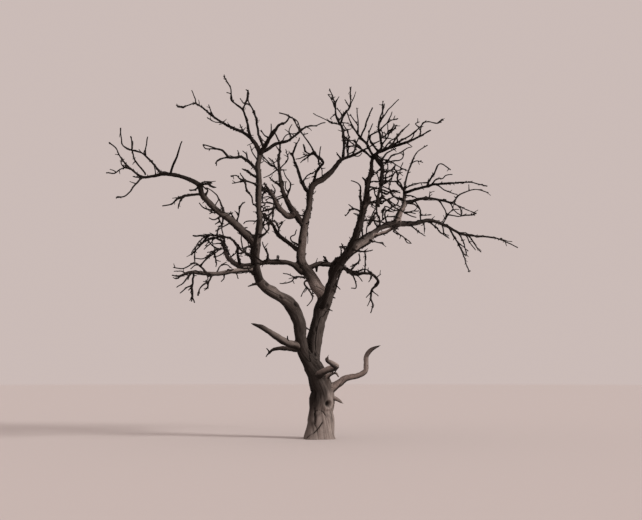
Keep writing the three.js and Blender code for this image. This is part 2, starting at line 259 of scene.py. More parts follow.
BENDS = (
    Bend("left_leader", 0.42, 15, 0, 0.3),
    Bend("left_elbow", 0.72, -23, -36, 0.15),
    Bend("left_elbow", 0.43, 0, 0, 0.14, 0.85),
    Bend("left_elbow", 0.97, 0, 0, 0.3, 0.74),
    Bend("left_fork", 0.12, 0, -18, 0.25),
    Bend("left_fork", 0.42, 30, -6, 0.2),
    Bend("left_cross", 0.05, 8, -30, 0.12),
    Bend("left_cross", 0.52, 20, 6, 0.15),
    Bend("center_mid", 0.62, 12, 0, 0.2),
    Bend("upper_right", 0.15, 0, -16, 0.35),
    Bend("mid_right", 0.08, 0, -18, 0.35),
    Bend("right_bough_outer", 0.4, 0, -12, 0.3),
    Bend("left_arm", 0.9, 13, 3, 0.3),
    Bend("left_arm", 0.25, 6, 8, 0.25),
    Bend("right_leader", 0.03, 50, 0, 0.1, 0.7),
    Bend("right_leader", 0.1, 16, 0, 0.1, 0.75),
    Bend("right_leader", 0.785, -15, 0, 0.12),
    Bend("right_leader", 1.0, -6, 0, 0.33, 0.74),
    Bend("right_leader", 0.9, 14, 0, 0.1),
    Bend("center_stem", -0.15, -19, -14, 0.14),
    Bend("center_stem", 0.0, 0, 0, 0.35, 0.86),
    Bend("connector_bough", 0.3, 0, -9, 0.25, 0.92),
    Bend("arch_bough", 0.35, 8, -9, 0.35),
    Bend("right_bough", 0.15, -22, 22, 0.27, 0.45),
    Bend("right_bough_outer", 0.07, 0, 15, 0.16, 0.62),
    Bend("cross_bough", -0.19, 10, -120, 0.1, 1.15),
    Bend("left_stem", 0.55, 12, 0, 0.2),
    Bend("left_elbow", 0.05, 15, 0, 0.25),
    Bend("right_stem", 0.22, -4, 0, 0.2, 0.95),
    Bend("right_stem", 0.75, 4, 0, 0.22, 0.93),
    Bend("right_leader", 0.33, 17, -10, 0.3, 0.86),
    Bend("hanging_bough", 0.3, 0, 8, 0.3, 0.8),
    Bend("trunk", 0.66, 20, 0, 0.16),
    Bend("low_arm", 0.35, 0, -18, 0.3),
    Bend("low_arm", 0.85, 0, 0, 0.2, 1.35),
    Bend("stub_upper", 0.4, 0, -10, 0.4),
    Bend("left_mast", 0.97, 110, 0, 0.17),
    Bend("left_prong", -1.0, 80, 12, 0.32),
    Bend("left_stick", 1.0, 12, 0, 0.4),
    Bend("crown_drop", 0.62, 46, 0, 0.2),
    Bend("crown_drop", 0.75, 0, 0, 0.4, 0.64),
    Bend("riser", 0.12, 22, 0, 0.11, 1.1),
    Bend("riser", 0.3, 0, 0, 0.45, 0.62),
)


@dataclass(frozen=True)
class PhotoView:
    """The photograph's camera, which turns a point of the picture and a depth into a place.

    A picture point is a column and a row of the 642 x 520 frame.  Its ray leaves the eye with the
    slopes (column - middle) * pixel and (middle - row) * pixel, and the place is where the ray
    comes to the chosen depth behind the middle of the trunk.
    """

    pitch: float = math.radians(7.7)
    pixel: float = SENSOR / LENS / PICTURE[0]
    middle: Pair = (319.9, 260.0)
    rounds: int = 6

    def place(self, point: Pair, depth: float) -> Array:
        """The place that is seen at a picture point.

        Args:
            point: its column and row.
            depth: how deep along +Y the place lies.

        Returns:
            The place in metres.
        """
        across, up = (point[0] - self.middle[0]) * self.pixel, (self.middle[1] - point[1]) * self.pixel
        ahead = math.cos(self.pitch) - up * math.sin(self.pitch)
        rise = math.sin(self.pitch) + up * math.cos(self.pitch)
        reach = (CAMERA_AWAY + depth) / ahead
        return np.array([reach * across, depth, CAMERA_HEIGHT + reach * rise])

    def points(self, spots: Array) -> Array:
        """The picture points at which places are seen.

        Args:
            spots: the places, one row each.

        Returns:
            Their columns and rows.
        """
        back, rise = spots[:, 1] + CAMERA_AWAY, spots[:, 2] - CAMERA_HEIGHT
        ahead = back * math.cos(self.pitch) + rise * math.sin(self.pitch)
        up = rise * math.cos(self.pitch) - back * math.sin(self.pitch)
        column = self.middle[0] + spots[:, 0] / ahead / self.pixel
        return np.stack([column, self.middle[1] - up / ahead / self.pixel], 1)

    def course(self, start: Array, points: tuple[Pair, ...], lean: float) -> Array:
        """The places along a branchlet that is seen at some picture points.

        Each point lies deeper than the last by the tangent of the lean times the way between them
        across the picture.  That way depends on the depth, so it is worked out a few times over.

        Args:
            start: where it leaves its bearer.
            points: the picture points that follow.
            lean: its lean away from the viewer in degrees.

        Returns:
            The places, the start included.
        """
        spots = [start]
        for point in points:
            depth = spots[-1][1]
            for _ in range(self.rounds):
                apart = self.place(point, depth) - spots[-1]
                depth = spots[-1][1] + math.hypot(apart[0], apart[2]) * math.tan(math.radians(lean))
            spots.append(self.place(point, depth))
        return np.array(spots)


PHOTO = PhotoView()


@dataclass(frozen=True)
class Sprig:
    """A branchlet: what bears it, its radius and lean in mm and degrees, and its course.

    The course of one that shows in the photograph is given by the picture points that it passes,
    from where it leaves its bearer, as read off the photograph.  The course of any other
    starts a share of the way along its bearer, and goes on in runs.  A run is its length in mm
    and its heading in the picture plane in degrees, where 0 is right and 90 is up.  The lean is
    away from the viewer, or towards the viewer where it is negative.  Name is for one that bears
    others, tip is the radius at the tip in mm, and pale its own paleness, where it has them.
    """

    bearer: str
    radius: float
    lean: float
    points: tuple[Pair, ...] = ()
    at: float = 0.0
    runs: tuple[Pair, ...] = ()
    name: str = ""
    tip: float = 0.0
    pale: float | None = None

    def course(self, bearer: "Stem") -> tuple[Array, float, int]:
        """The places that the branchlet passes, and where it leaves its bearer.

        Args:
            bearer: the stem that bears it.

        Returns:
            The places, one row each, and the bearer's radius and ring at the first.
        """
        share = bearer.share_seen(self.bearer, self.points[0]) if self.points else self.at
        root, radius, row = bearer.point(self.bearer, share)
        if self.points:
            return PHOTO.course(root, self.points[1:], self.lean), radius, row
        lengths, headings = np.array(self.runs, float).T
        steps = (lengths * MM)[:, None] * heading_vector(headings, self.lean)
        return root + np.concatenate([np.zeros((1, 3)), np.cumsum(steps, axis=0)]), radius, row


def seen(bearer: str, radius: float, lean: float, *points: Pair, **more: object) -> Sprig:
    """The plan of a branchlet from the picture points that it passes, the first on its bearer."""
    return Sprig(bearer, radius, lean, points, **more)


SPRIGS = (
    # the left crown
    seen("left_top", 8, -20, (195.7, 104.5), (194.5, 96.5), (191.6, 89.9)),
    seen("left_top", 9, 25, (229, 126.5), (221, 121), (214, 116), (208.6, 104.4)),
    seen("left_top", 8, 30, (243.5, 132.5), (240, 124)),
    seen("left_top", 7, -35, (222, 122), (214, 121.5), (207, 117)),
    seen("left_spire", 9, 20, (242.5, 110), (247.1, 97.4), (248.4, 90.3)),
    seen("left_spire", 7, -25, (234, 99), (231, 94), (226.5, 92)),
    seen("left_mast", 8, -30, (253, 113.5), (257, 119), (257.5, 125)),
    seen("left_mast", 7, 30, (250, 104), (244, 103), (240, 98)),
    seen("left_fork", 7, 20, (292.7, 117), (297, 121), (300, 128)),
    seen("left_fork", 8, -30, (268.8, 137.5), (264, 134), (261, 129.5)),
    seen("left_fork", 8, 30, (270, 134.5), (271.5, 129), (271, 123.5)),
    seen("left_cross", 7, 25, (291, 136), (289, 130), (292, 124)),
    seen("left_cross", 7, -20, (299, 130), (303, 134), (308, 133)),
    seen("left_cross", 7, -35, (282, 140), (286, 135), (296, 133)),
    seen("left_branch", 9, 25, (228, 157), (221, 158), (216.4, 160.4), (216.4, 165.5)),
    seen("left_branch", 7, -35, (248, 161), (246, 153), (242.5, 150.5)),
    seen("left_branch", 6, 35, (239.5, 156), (237.5, 150)),
    seen("left_branch", 7, 20, (214.8, 150), (206, 148.3), (203, 145)),
    # the left leader
    seen("left_leader", 9, 35, (257, 179), (249, 172), (242, 168.5)),
    seen("left_leader", 8, 30, (257, 221), (246, 221), (243.5, 223.5)),
    seen("left_leader", 8, -35, (258, 161), (252, 152), (250, 145)),
    seen("left_leader", 11, -40, (253.5, 256), (247, 254.5), (243, 249), (241.3, 240.5), (241.3, 233)),
    seen("left_leader", 9, -45, (262, 240), (266, 231), (263, 224), (266, 217)),
    seen("left_elbow", 17, -30, (259, 282), (253, 284), (248, 286)),
    # the left arm
    seen("left_riser", 8, -25, (147.5, 153), (146.4, 143), (147.7, 136.3)),
    seen("left_arm_outer", 8, 20, (131.5, 167), (124, 166.7), (121, 162.5), (121.6, 157)),
    seen("left_arm_outer", 9, 25, (146, 176), (139, 177), (133, 176)),
    seen("left_arm_outer", 13, -45, (199, 184), (206, 183.5), (212, 186), (216, 187),
         name="arm_cluster_right"),
    seen("left_arm_outer", 11, 30, (201, 188), (205, 183), (211.5, 182.5)),
    seen("left_arm_outer", 10, -20, (198, 187), (193, 190), (189, 189.5)),
    seen("left_hook", 8, 30, (184, 196.5), (180, 201), (178, 208)),
    seen("left_arm", 12, 30, (224.7, 215.5), (220.6, 202.4), (215.6, 193.3), (206.5, 187.3)),
    seen("left_arm", 11, -40, (215, 212), (208, 209), (203, 207), (199.2, 202.5)),
    seen("left_arm", 10, -30, (238, 222.5), (238.8, 213), (240.5, 205.7), (245, 201.5), name="arm_up"),
    seen("arm_up", 6, 25, (238.8, 216), (234.7, 210.5)),
    seen("left_arm", 10, 25, (242, 228.5), (247.5, 227)),
    seen("left_arm", 10, -30, (221, 218), (214, 219), (209, 217.5), name="arm_under_left"),
    seen("left_arm", 10, 35, (221, 218.5), (222, 226), (223, 235)),
    seen("left_arm", 9, -35, (230, 223.5), (223, 226.4), (215.6, 231)),
    seen("left_arm_outer", 6, 30, (151, 170), (150, 176)),
    seen("left_arm_outer", 6, -30, (155, 172), (154, 165)),
    seen("left_far_tip", 6, 20, (118, 176), (115, 171), (110, 169)),
    # the lower left bough and what hangs from it
    seen("lower_bough", 12, -30, (206.5, 271), (200.7, 266.2), (194.9, 262.5), (190.3, 263.2),
         name="low_back"),
    seen("low_back", 8, 15, (194, 263), (183.3, 267.9), (173.3, 267)),
    seen("low_back", 10, -15, (200, 266), (204.8, 260.4), (211.5, 254.6), (221.4, 248), name="low_rise"),
    seen("lower_bough", 10, -25, (191, 278), (184, 282), (176.6, 287)),
    seen("lower_drop", 8, 25, (192, 285), (186, 288), (180, 292.8)),
    seen("lower_drop", 7, -30, (192.4, 292.8), (191.4, 301)),
    seen("lower_bough", 11, -35, (212.3, 272.7), (209.8, 279.5), (203, 285), (199, 289.5), (198.4, 295.2),
         name="hang_left"),
    seen("hang_left", 6, 30, (209, 281), (208, 288.5)),
    seen("lower_bough", 8, 35, (224.7, 275), (224, 278), (221.2, 281.2)),
    seen("lower_bough", 8, -30, (235.5, 272), (237.8, 277.5)),
    seen("lower_bough", 8, 35, (216.4, 270.4), (221.4, 264.6), (226.4, 261.8), name="low_up"),
    seen("lower_bough", 6, 25, (186, 274), (180, 270.5), (174, 271)),
    seen("lower_bough", 6, -25, (183, 275.5), (176, 278.5), (173, 277)),
    seen("curl_branch", 10, -30, (222, 238), (214, 238), (205, 241), (196.5, 246.3), (190.7, 254.6),
         name="droop_long"),
    seen("droop_long", 7, 15, (196, 248), (194.9, 254.6), (194.9, 261.5)),
    seen("curl_branch", 9, -35, (222, 238.5), (226.4, 245.5), (229.7, 254.6)),
    seen("curl_branch", 8, 25, (210, 235), (203, 238), (196, 245), name="droop_short"),
    seen("cross_bough", 11, -45, (266.5, 261), (267.4, 252.9), (264, 246), (262.4, 241.5)),
    seen("cross_bough", 13, -40, (277.5, 261.5), (278, 255.5)),
    seen("curl_bough", 8, 25, (228, 252), (223, 247), (221, 239.5), name="curl_hook"),
    # stubs
    seen("stub_upper", 12, -35, (288.5, 341), (287.5, 335.5)),
    seen("stub_lower", 8, 25, (269, 351), (266.5, 348)),
    seen("stub_lower", 9, -25, (269, 351.5), (266, 356.5)),
    # the center
    seen("center_left", 10, -40, (287, 198), (289.8, 188), (289.8, 181.6), (284.8, 174), (283, 169),
         name="loop_inner"),
    seen("center_left", 9, 30, (281, 169.5), (287.7, 158.7), (285.7, 149)),
    seen("center_left", 11, -35, (285, 171), (277, 168.7), (270, 163), (262, 156), name="cross_twig"),
    seen("cross_twig", 8, 25, (277, 168.7), (269.5, 174.5), (263.4, 177.3)),
    seen("center_curve", 9, -30, (277, 205), (269, 202), (263, 203)),
    seen("center_curve", 8, 35, (274, 200), (269, 196.5), (263, 197)),
    seen("center_curve", 8, -40, (279, 208), (271, 208.5), (265, 211)),
    seen("center_curve", 10, -30, (276, 203.5), (272.4, 212), (272.4, 217), (271.4, 225),
         name="ladder_down"),
    seen("center_curve", 8, 35, (272, 197), (275, 190), (272, 184)),
    seen("center_low_left", 9, -30, (279, 234), (278.2, 228), (274, 219.3), name="low_left_rise"),
    seen("low_left_rise", 6, 25, (278.5, 229.5), (282.5, 221)),
    seen("center_low_left", 7, 30, (270, 225.5), (264, 224), (260, 227)),
    seen("center_stem", 11, -40, (302, 246), (296, 243), (291.2, 240.5), (290.6, 236.3), (294.8, 233.8),
         (296.6, 229.3)),
    seen("center_stem", 12, -45, (310, 279), (304, 277), (295.6, 277), (289.8, 281.9), (279.9, 283),
         name="base_twig"),
    seen("base_twig", 7, 20, (295, 277), (289, 274.5), (283, 272.8)),
    seen("center_stem", 12, -35, (309, 280), (304.5, 281.5), (307.2, 287.7), (312.4, 295), (311.4, 300.2),
         (307, 305.5), name="base_hang"),
    seen("base_hang", 7, 20, (306.3, 287), (303.6, 291), (301, 296.4)),
    seen("center_rear", 10, -30, (301, 184), (304, 179), (308.2, 174.5), (314.8, 171.2), (321.5, 165.2)),
    seen("center_mid", 9, 30, (315, 153.5), (309, 153), (304.9, 150.5), (304, 144.5), name="mid_cross"),
    seen("center_mid", 8, -25, (311, 153), (303, 157), (295.8, 158.8)),
    seen("center_mid", 8, 25, (318.5, 158), (320, 152), (320.8, 146)),
    seen("center_mid", 8, -25, (322.3, 174), (320.4, 166.8)),
    seen("arch_mast", 7, 20, (334.5, 104), (339, 96.3)),
    seen("arch_mast", 9, -25, (336.5, 127), (331, 122), (326.4, 119.8), (313.2, 113)),
    seen("arch_spire", 7, -20, (349.5, 107), (344.7, 99)),
    seen("arch_spire", 7, 25, (350, 106), (354.8, 94.6)),
    seen("arch_mast", 8, 30, (338, 121), (342, 115), (346.3, 109.6)),
    seen("arch_mast", 8, -30, (334, 108), (332, 101), (328.7, 94.5)),
    seen("arch_bough", 9, -35, (347, 155), (348, 144.7), (346.3, 136.2), name="arch_inner"),
    seen("arch_bough", 8, 35, (352, 152), (356, 146), (354, 139)),
    # the right leader and crown
    seen("right_leader", 12, -40, (359.5, 208.5), (360.2, 196), (359.7, 185.2), (351, 180.2),
         name="leader_back"),
    seen("right_leader", 11, -35, (357, 211), (353.4, 208.3), (345.4, 215.5), name="leader_back_low"),
    seen("leader_back_low", 7, 20, (353.4, 208.3), (348.6, 204)),
    seen("right_leader", 12, -30, (343, 250), (341.4, 243)),
    seen("crown_bough", 12, 25, (389, 143), (399, 133.5), (409.3, 123.5)),
    seen("crown_bough", 12, -25, (383.7, 149), (398, 142), (414, 131.8), (423.5, 122),
         name="crown_parallel"),
    seen("crown_mast", 9, -30, (380, 121.5), (388.5, 109.4), (398.8, 98.8), name="mast_side"),
    seen("mast_side", 7, 20, (382.5, 117), (382.7, 108), (382.9, 101)),
    seen("crown_left", 9, 25, (356, 134), (358, 123.8), (356.6, 107.5), name="left_side_up"),
    seen("crown_mast", 11, -35, (368, 145), (369.3, 136.6), (378.9, 130.2), (390, 120.6), (398, 118),
         name="drop_fan"),
    seen("drop_fan", 7, 20, (388, 122), (391.8, 112.3)),
    seen("right_leader", 11, -40, (373, 158), (365, 151), (356.6, 146), (350, 141), name="crown_back"),
    seen("crown_drop", 16, 30, (375.7, 204), (378.9, 190.8), (382, 181.2), (381.2, 171.6), (382.1, 163.7),
         (375.7, 155.5), name="second_riser"),
    seen("right_leader", 10, 35, (366, 180), (372, 176), (374, 170)),
    seen("second_riser", 10, -30, (381, 185), (389, 180), (395, 172), (402, 169), name="web_rise"),
    seen("second_riser", 9, -40, (379, 191), (387, 193), (393, 190), (400, 192)),
    seen("second_riser", 9, 30, (381.5, 174), (388, 168), (387, 161), name="web_high"),
    seen("right_leader", 10, -35, (363, 196), (370, 190), (378, 188), (384, 183), name="web_inner"),
    seen("right_leader", 9, 40, (361, 204), (369, 201), (377, 203), (384, 200), name="web_rear"),
    seen("right_bough_outer", 12, -45, (386, 222), (385, 213), (391, 206), (389, 198), name="web_column"),
    seen("right_bough_outer", 11, 40, (377, 227), (374, 217), (377, 209), (372, 203),
         name="web_column_rear"),
    seen("riser", 11, -40, (402.5, 200), (394, 196), (389, 187), (392, 178), name="web_arc"),
    seen("riser", 11, -35, (403, 206), (395, 210), (386, 206), (381, 211), name="web_arc_low"),
    seen("riser", 9, 35, (404, 190), (397, 183), (398, 174), (393, 167), name="web_arc_high"),
    seen("web_arc", 8, 15, (389.5, 189), (383, 186), (378, 178)),
    seen("web_column", 7, 20, (390.5, 207), (397, 204), (400, 197)),
    # the right bough
    Sprig("right_bough", 23, -12, at=1.0, runs=((105, 15), (90, 12), (95, 23), (75, 24)), tip=21, pale=1.8),
    seen("riser", 8, 25, (411, 162.5), (416, 160.5), (422.9, 162)),
    seen("riser", 9, -25, (404.4, 188), (414, 183.6), (428.5, 182)),
    seen("upper_right", 9, -25, (431.5, 183), (437, 178.2), (442.7, 178), (445.9, 174.8), (452.4, 174)),
    seen("upper_right", 9, 25, (436.3, 184), (447.5, 190.8), (457.2, 194)),
    seen("mid_right", 9, -25, (450, 203), (458.6, 205), (468.2, 209.9), (476.4, 213.1), name="mid_side"),
    seen("mid_right", 8, 25, (449, 209), (458, 213.5), (474.8, 213.9)),
    seen("mid_right", 10, -30, (438, 201), (444.3, 208.3), (446, 214), (442.5, 221.5), name="mid_drop"),
    seen("mid_drop", 7, 25, (445.5, 214.5), (449, 213), (453.2, 208.6), name="mid_drop_up"),
    seen("mid_side", 7, 30, (460.2, 207), (461.2, 215.7)),
    seen("mid_right", 8, -30, (415.6, 203.5), (420.4, 209.9), (420.4, 218.2), name="mid_inner_drop"),
    seen("right_bough_outer", 10, -35, (409, 222), (417.2, 230.6), (425.3, 235.6)),
    seen("right_bough_outer", 8, 30, (423.5, 221.5), (424.4, 231.6)),
    seen("right_bough_outer", 10, -35, (428.3, 221), (439.5, 230.6), (449.2, 238)),
    seen("right_droop", 7, 25, (462, 239), (464.1, 247.3), (468.4, 250.6)),
    seen("right_droop", 7, -20, (463, 243), (466, 255.7)),
    seen("right_bough_outer", 9, -30, (469, 234), (474.3, 243.3), (480.6, 251.6)),
    seen("right_bough_outer", 8, 30, (466, 233), (470, 242), (475.5, 249.6)),
    seen("right_bough", 12, -45, (365, 243), (362, 232), (362.9, 221), (375.7, 220.3), (388.5, 224.3),
         (399.6, 233.8), (411, 242.8)),
    seen("right_bough", 11, -40, (370, 243), (383.9, 243.6)),
    seen("right_leader", 12, -40, (350, 247), (358, 251), (372.7, 249.6)),
    seen("right_bough_outer", 6, 25, (498, 236), (505, 240), (512.2, 241.2)),
    seen("right_bough_outer", 7, -25, (446, 215.5), (452, 210), (459, 209)),
    # the hanging bough
    Sprig("connector_bough", 13, -30, at=0.45, runs=((75, 110), (70, 132)), tip=12),
    Sprig("connector_bough", 15, 25, at=0.08, runs=((110, 272),), tip=13),
    seen("hanging_bough", 11, -35, (352.2, 269.5), (358.5, 270.5), (365.2, 269.1), (372.2, 272.4),
         name="hang_twin"),
    seen("hanging_bough", 10, -30, (352.5, 271), (355.2, 280.6), (355.8, 287.5), (351.2, 287.7)),
    seen("hang_twin", 7, 20, (370, 271.4), (370.6, 279), (368.5, 281.6)),
    seen("hanging_bough", 9, -30, (364.4, 268.4), (365.2, 260), (364.8, 251.3)),
    seen("hanging_bough", 9, 30, (352, 267), (359, 260), (359.1, 252.8), name="hang_rise_rear"),
    seen("hanging_bough", 7, 25, (377, 277), (380.7, 273.8)),
    seen("hanging_bough", 7, -25, (372.6, 290), (378.4, 295.7)),
    seen("hanging_bough", 7, 25, (371.5, 291.5), (366.1, 297.2)),
    seen("hanging_bough", 6, -20, (370.6, 298.5), (367.3, 305.7)),
    Sprig("right_leader", 14, -30, at=0.17, runs=((75, 338), (140, 262), (105, 246), (90, 236)),
          name="stem_strand", tip=11),
    # the web between the leader and the riser
    seen("second_riser", 12, -30, (382.8, 158.9), (383.6, 156.8), (386.6, 152.8), (390.7, 150.7),
         (395.8, 148.2)),
    seen("web_high", 9, 30, (388.2, 158.9), (392.2, 155.3), (398.4, 153.3), (403, 150.2), (407, 147.7),
         (411.4, 146.6)),
    seen("second_riser", 9, -25, (383.1, 162.4), (388.7, 161.9), (392.8, 160.4), (398.4, 159.9),
         (402.4, 157.9), (403.7, 154.3), (403.2, 150.7)),
    seen("crown_bough", 9, 30, (377.4, 156.3), (383.6, 158.9), (387.7, 159.9), (391.7, 161.9),
         (395.8, 164.5), (400.4, 167), (406.5, 170.1)),
    seen("web_arc_high", 12, -30, (402.2, 189), (400.9, 184.4), (398.4, 180.8), (397.3, 177.8),
         (398.4, 174.7), (400.4, 170.6), (401.2, 166.5), (403, 161.9)),
    seen("crown_drop", 7, 25, (384.1, 170.6), (389.7, 170.1), (393.8, 171.1), (399.4, 171.9),
         (402.4, 171.9)),
    seen("web_rise", 9, -35, (385.6, 180.3), (385.4, 178.8), (385.6, 174.7), (387.7, 171.6), (391.7, 168.6),
         (394.8, 165.5), name="web_prop"),
    seen("web_prop", 7, 35, (385.4, 177.8), (389.7, 176.2), (393.8, 173.2)),
    seen("right_leader", 9, 20, (370.3, 183.4), (373.9, 180.8), (378.5, 180.8), (388.2, 180.6),
         (392.8, 181.1), (397.9, 180.3), (401.4, 178.3)),
    seen("crown_drop", 9, -35, (380.3, 167.6), (376.9, 171.6), (377.4, 175.2), (378.7, 177.8)),
    seen("right_leader", 9, -15, (370.3, 186.9), (375.4, 187.4), (381, 188.5), (387.7, 191.5), (393.8, 191),
         (398.4, 192)),
    seen("web_inner", 7, 35, (374.4, 189), (375.4, 194.1), (377.4, 198.2), (379.5, 199.7)),
    seen("crown_drop", 12, 20, (379.5, 195.1), (383.6, 197.7), (387.7, 200.2), (390.7, 203.3),
         (394.8, 206.8), (399.4, 209.4), (405, 213), (410.6, 215.5), (416.2, 217), name="web_sweep"),
    seen("web_rear", 9, -25, (379.4, 202.5), (381.6, 203.5), (386, 199.4), (389, 198.7), (393.8, 196.8),
         (398.2, 198.5), (401.6, 198.3)),
    seen("web_rear", 7, 30, (369.8, 203.8), (372.9, 206.8), (375.9, 208.9)),
    seen("web_rear", 7, -30, (371.8, 202.2), (376.9, 201.2)),
    seen("web_arc_low", 9, -20, (383.8, 209.8), (388.3, 210.9), (393.8, 211.6), name="web_rung"),
    seen("web_rung", 9, 25, (383.8, 209.8), (382.3, 215.7), (382.7, 218.7), (380.9, 220.5), name="web_drop"),
    seen("web_drop", 9, 30, (383.1, 218.7), (386.4, 216.5), (391.2, 216.3), (399.7, 217.6)),
    seen("web_column", 7, -30, (391.6, 201.3), (393.8, 203.1), (397.1, 205), (400.1, 206.1)),
    seen("web_sweep", 9, 25, (405, 211.4), (411.1, 210.9), (418.8, 210.4), name="web_out"),
    seen("web_out", 7, -20, (406, 211.4), (410.1, 212.2), (415.7, 213.2)),
    seen("riser", 12, 20, (405.5, 203.3), (410.1, 202.8), (414.7, 203.8), (417.8, 206.8), (420.8, 210.4),
         (419.8, 215.5)),
    seen("riser", 9, -20, (408.1, 194.6), (413.2, 196.1), (418.3, 198.7)),
    seen("mid_right", 7, 30, (429, 196.1), (430, 191)),
    seen("web_column_rear", 12, -10, (372, 219), (370.5, 221.6), (367.9, 225.3), (366.4, 228.3),
         (366.1, 233.8), (359.4, 240.1)),
    seen("web_column_rear", 12, 20, (377.8, 212.5), (378.6, 217.2), (380.1, 220.5), (379.7, 225.6)),
    seen("right_bough_outer", 7, -30, (370.5, 230.5), (372, 233.1)),
    seen("right_bough_outer", 9, -30, (391.2, 225.7), (394.5, 228.7), (393.8, 231.3), (397.5, 233.1),
         (403.8, 236.8), (407.9, 242.4), (411.5, 243), name="bar_end"),
    seen("bar_end", 7, 20, (394.5, 228.7), (398.6, 228.5)),
    seen("leader_back", 12, 10, (360, 195), (360.3, 201.7), (360, 207.2), (360.5, 211.6)),
    seen("right_leader", 9, -25, (359.5, 216.2), (356.8, 214.6), (353.5, 212.8)),
    # the crown's finest wood
    seen("left_side_up", 9, -30, (360, 131.6), (358.1, 128.4), (356.8, 123.3), (353, 118.8), (350.4, 113.7)),
    seen("crown_left", 9, 25, (368.3, 142.4), (368.3, 137.3), (368.9, 132.2), (370.8, 127.7),
         (372.7, 123.3)),
    seen("crown_mast", 9, -25, (382.9, 144.3), (385.5, 139.8), (388, 136), (388.7, 130.9), (391.9, 127.7),
         (394.4, 123.3), name="crown_fork"),
    seen("crown_fork", 7, 30, (388, 134), (393.8, 129), (396.3, 124.5)),
    seen("crown_mast", 7, 25, (382.9, 137.9), (384.8, 135.4), (388, 129.6), (387.4, 123.9)),
    seen("drop_fan", 7, -30, (381, 129.6), (382.3, 133.5), (382.9, 137.3), (390.6, 137.9)),
    seen("crown_bough", 9, 30, (383.6, 147.5), (387.4, 143.7), (391.2, 140.5), (395.1, 138.6)),
    seen("arch_mast", 7, -25, (342.8, 122), (343.1, 116.9), (340.8, 113.1), (337, 107.3),
         name="arch_tip_spur"),
    seen("arch_tip_spur", 7, 25, (343.7, 122.6), (349.1, 123.6)),
    seen("arch_mast", 7, -30, (344.7, 130.3), (351, 128.4)),
    seen("arch_inner", 9, 30, (349.1, 152), (346.6, 148.8), (347.2, 142.4), (348.5, 136), (347.2, 130.9),
         (342.8, 123.3)),
    seen("crown_back", 9, -25, (370.8, 157.1), (365.7, 152.6), (361.9, 148.8), (357.4, 144.3),
         (355.5, 141.1), (352.3, 139.8), (347.9, 140.5)),
    seen("arch_inner", 7, 25, (348.5, 146.9), (353.6, 145.3)),
    seen("crown_left", 7, -30, (357.4, 137.9), (355.5, 143)),
    seen("arch_inner", 7, 20, (345.9, 153.9), (354.2, 150.1), (354.9, 146.2)),
    seen("arch_bough", 7, -20, (339.6, 155.8), (336.4, 152)),
    seen("arch_bough", 7, 30, (353.6, 157.1), (358.7, 155.8), (361.9, 152.6)),
    seen("crown_parallel", 7, 20, (418, 125.8), (415.5, 123.3), (419.3, 121.4)),
    seen("crown_bough", 7, -25, (409.1, 140.5), (413.5, 136), (414.2, 131.6)),
    seen("arch_mast", 7, 25, (333.8, 113.7), (330, 118.2)),
    # loops under the left leader
    seen("low_rise", 9, -25, (221.7, 248), (215.9, 250.3), (210.2, 253.7), (203.3, 258.3), (195.3, 258),
         name="low_arc"),
    seen("low_arc", 7, 30, (217.6, 248.5), (212.5, 250.8), (207.3, 252)),
    seen("droop_short", 9, 25, (209, 235.9), (205.6, 238.2), (202.1, 242.2), name="low_thin"),
    seen("low_thin", 9, -30, (205.6, 239.4), (209, 241.6), (211.9, 245.1), (215.9, 247.4), (218.8, 248.5)),
    seen("curl_bough", 7, 20, (210.2, 238.8), (207.9, 241.6), (205, 245.7)),
    seen("curl_bough", 9, -20, (214.2, 238.8), (211.3, 241.6), (206.7, 246.2), (203.9, 249.1)),
    seen("curl_hook", 9, 30, (221.1, 243.4), (213.1, 243.4)),
    seen("low_rise", 9, -30, (216.5, 256.6), (216.5, 261.7), (215.9, 266.3)),
    seen("curl_bough", 9, 30, (221.7, 252), (217.6, 255.4), (213.6, 256)),
    seen("low_up", 7, -25, (221.7, 265.2), (225.1, 264), (228, 264.6), (230.3, 267.5)),
    seen("curl_bough", 9, 30, (229.1, 257.1), (233.1, 254.9), (236, 252.6), (237.2, 248), (237.7, 243.9),
         name="low_chain"),
    seen("curl_branch", 7, -20, (240, 253.1), (243.5, 252.6)),
    seen("left_leader", 9, 25, (249.8, 243.9), (246.9, 246.8), (245.8, 252)),
    seen("low_chain", 9, -25, (237.7, 244.5), (241.2, 249.1), (244.1, 252.6)),
    seen("low_back", 7, 20, (197.6, 265.2), (194.1, 265.2), (190.7, 268.6)),
    seen("lower_bough", 7, -20, (191.8, 275.5), (187.8, 279.5)),
    seen("lower_drop", 7, 25, (191.8, 287), (188.4, 289.9)),
    seen("lower_bough", 7, -25, (206.7, 275.5), (207.6, 279.5), (205.6, 280.1)),
    seen("hang_left", 7, 25, (207.9, 283), (207.6, 287), (204.4, 289.9)),
    seen("arm_under_left", 9, -30, (219.1, 219), (221.8, 224.8), (219.1, 226.6), (217.3, 233.3),
         name="arm_under_bend"),
    seen("arm_under_bend", 9, 25, (220, 220.4), (215.1, 223.9)),
    seen("curl_branch", 9, -20, (217.6, 235.3), (214.5, 234.8), (209.6, 232.5)),
    # the left arm's short twigs
    seen("left_arm", 9, 25, (226.3, 213.7), (230.7, 213.2), (233, 212.3)),
    seen("left_arm", 7, -30, (233, 217.7), (232, 215.4), (230.7, 211)),
    seen("left_arm", 7, 30, (216.4, 205.2), (217.3, 200.7), (219.5, 198.5)),
    seen("left_arm", 12, -25, (205.7, 194.9), (207.5, 190), (203, 186.4)),
    seen("arm_cluster_right", 9, 30, (201.5, 184.5), (202.6, 182), (210.6, 181.5), (212, 183.3)),
    seen("left_arm", 7, -25, (219.1, 216.3), (212, 212.3), (209.5, 213.4)),
    # the hand on the left leader
    seen("left_leader", 11, -40, (256.5, 186), (252.6, 182.9), (244.6, 179.7), (239.6, 178), (237, 175.5),
         (230.7, 175.7), name="leader_hand"),
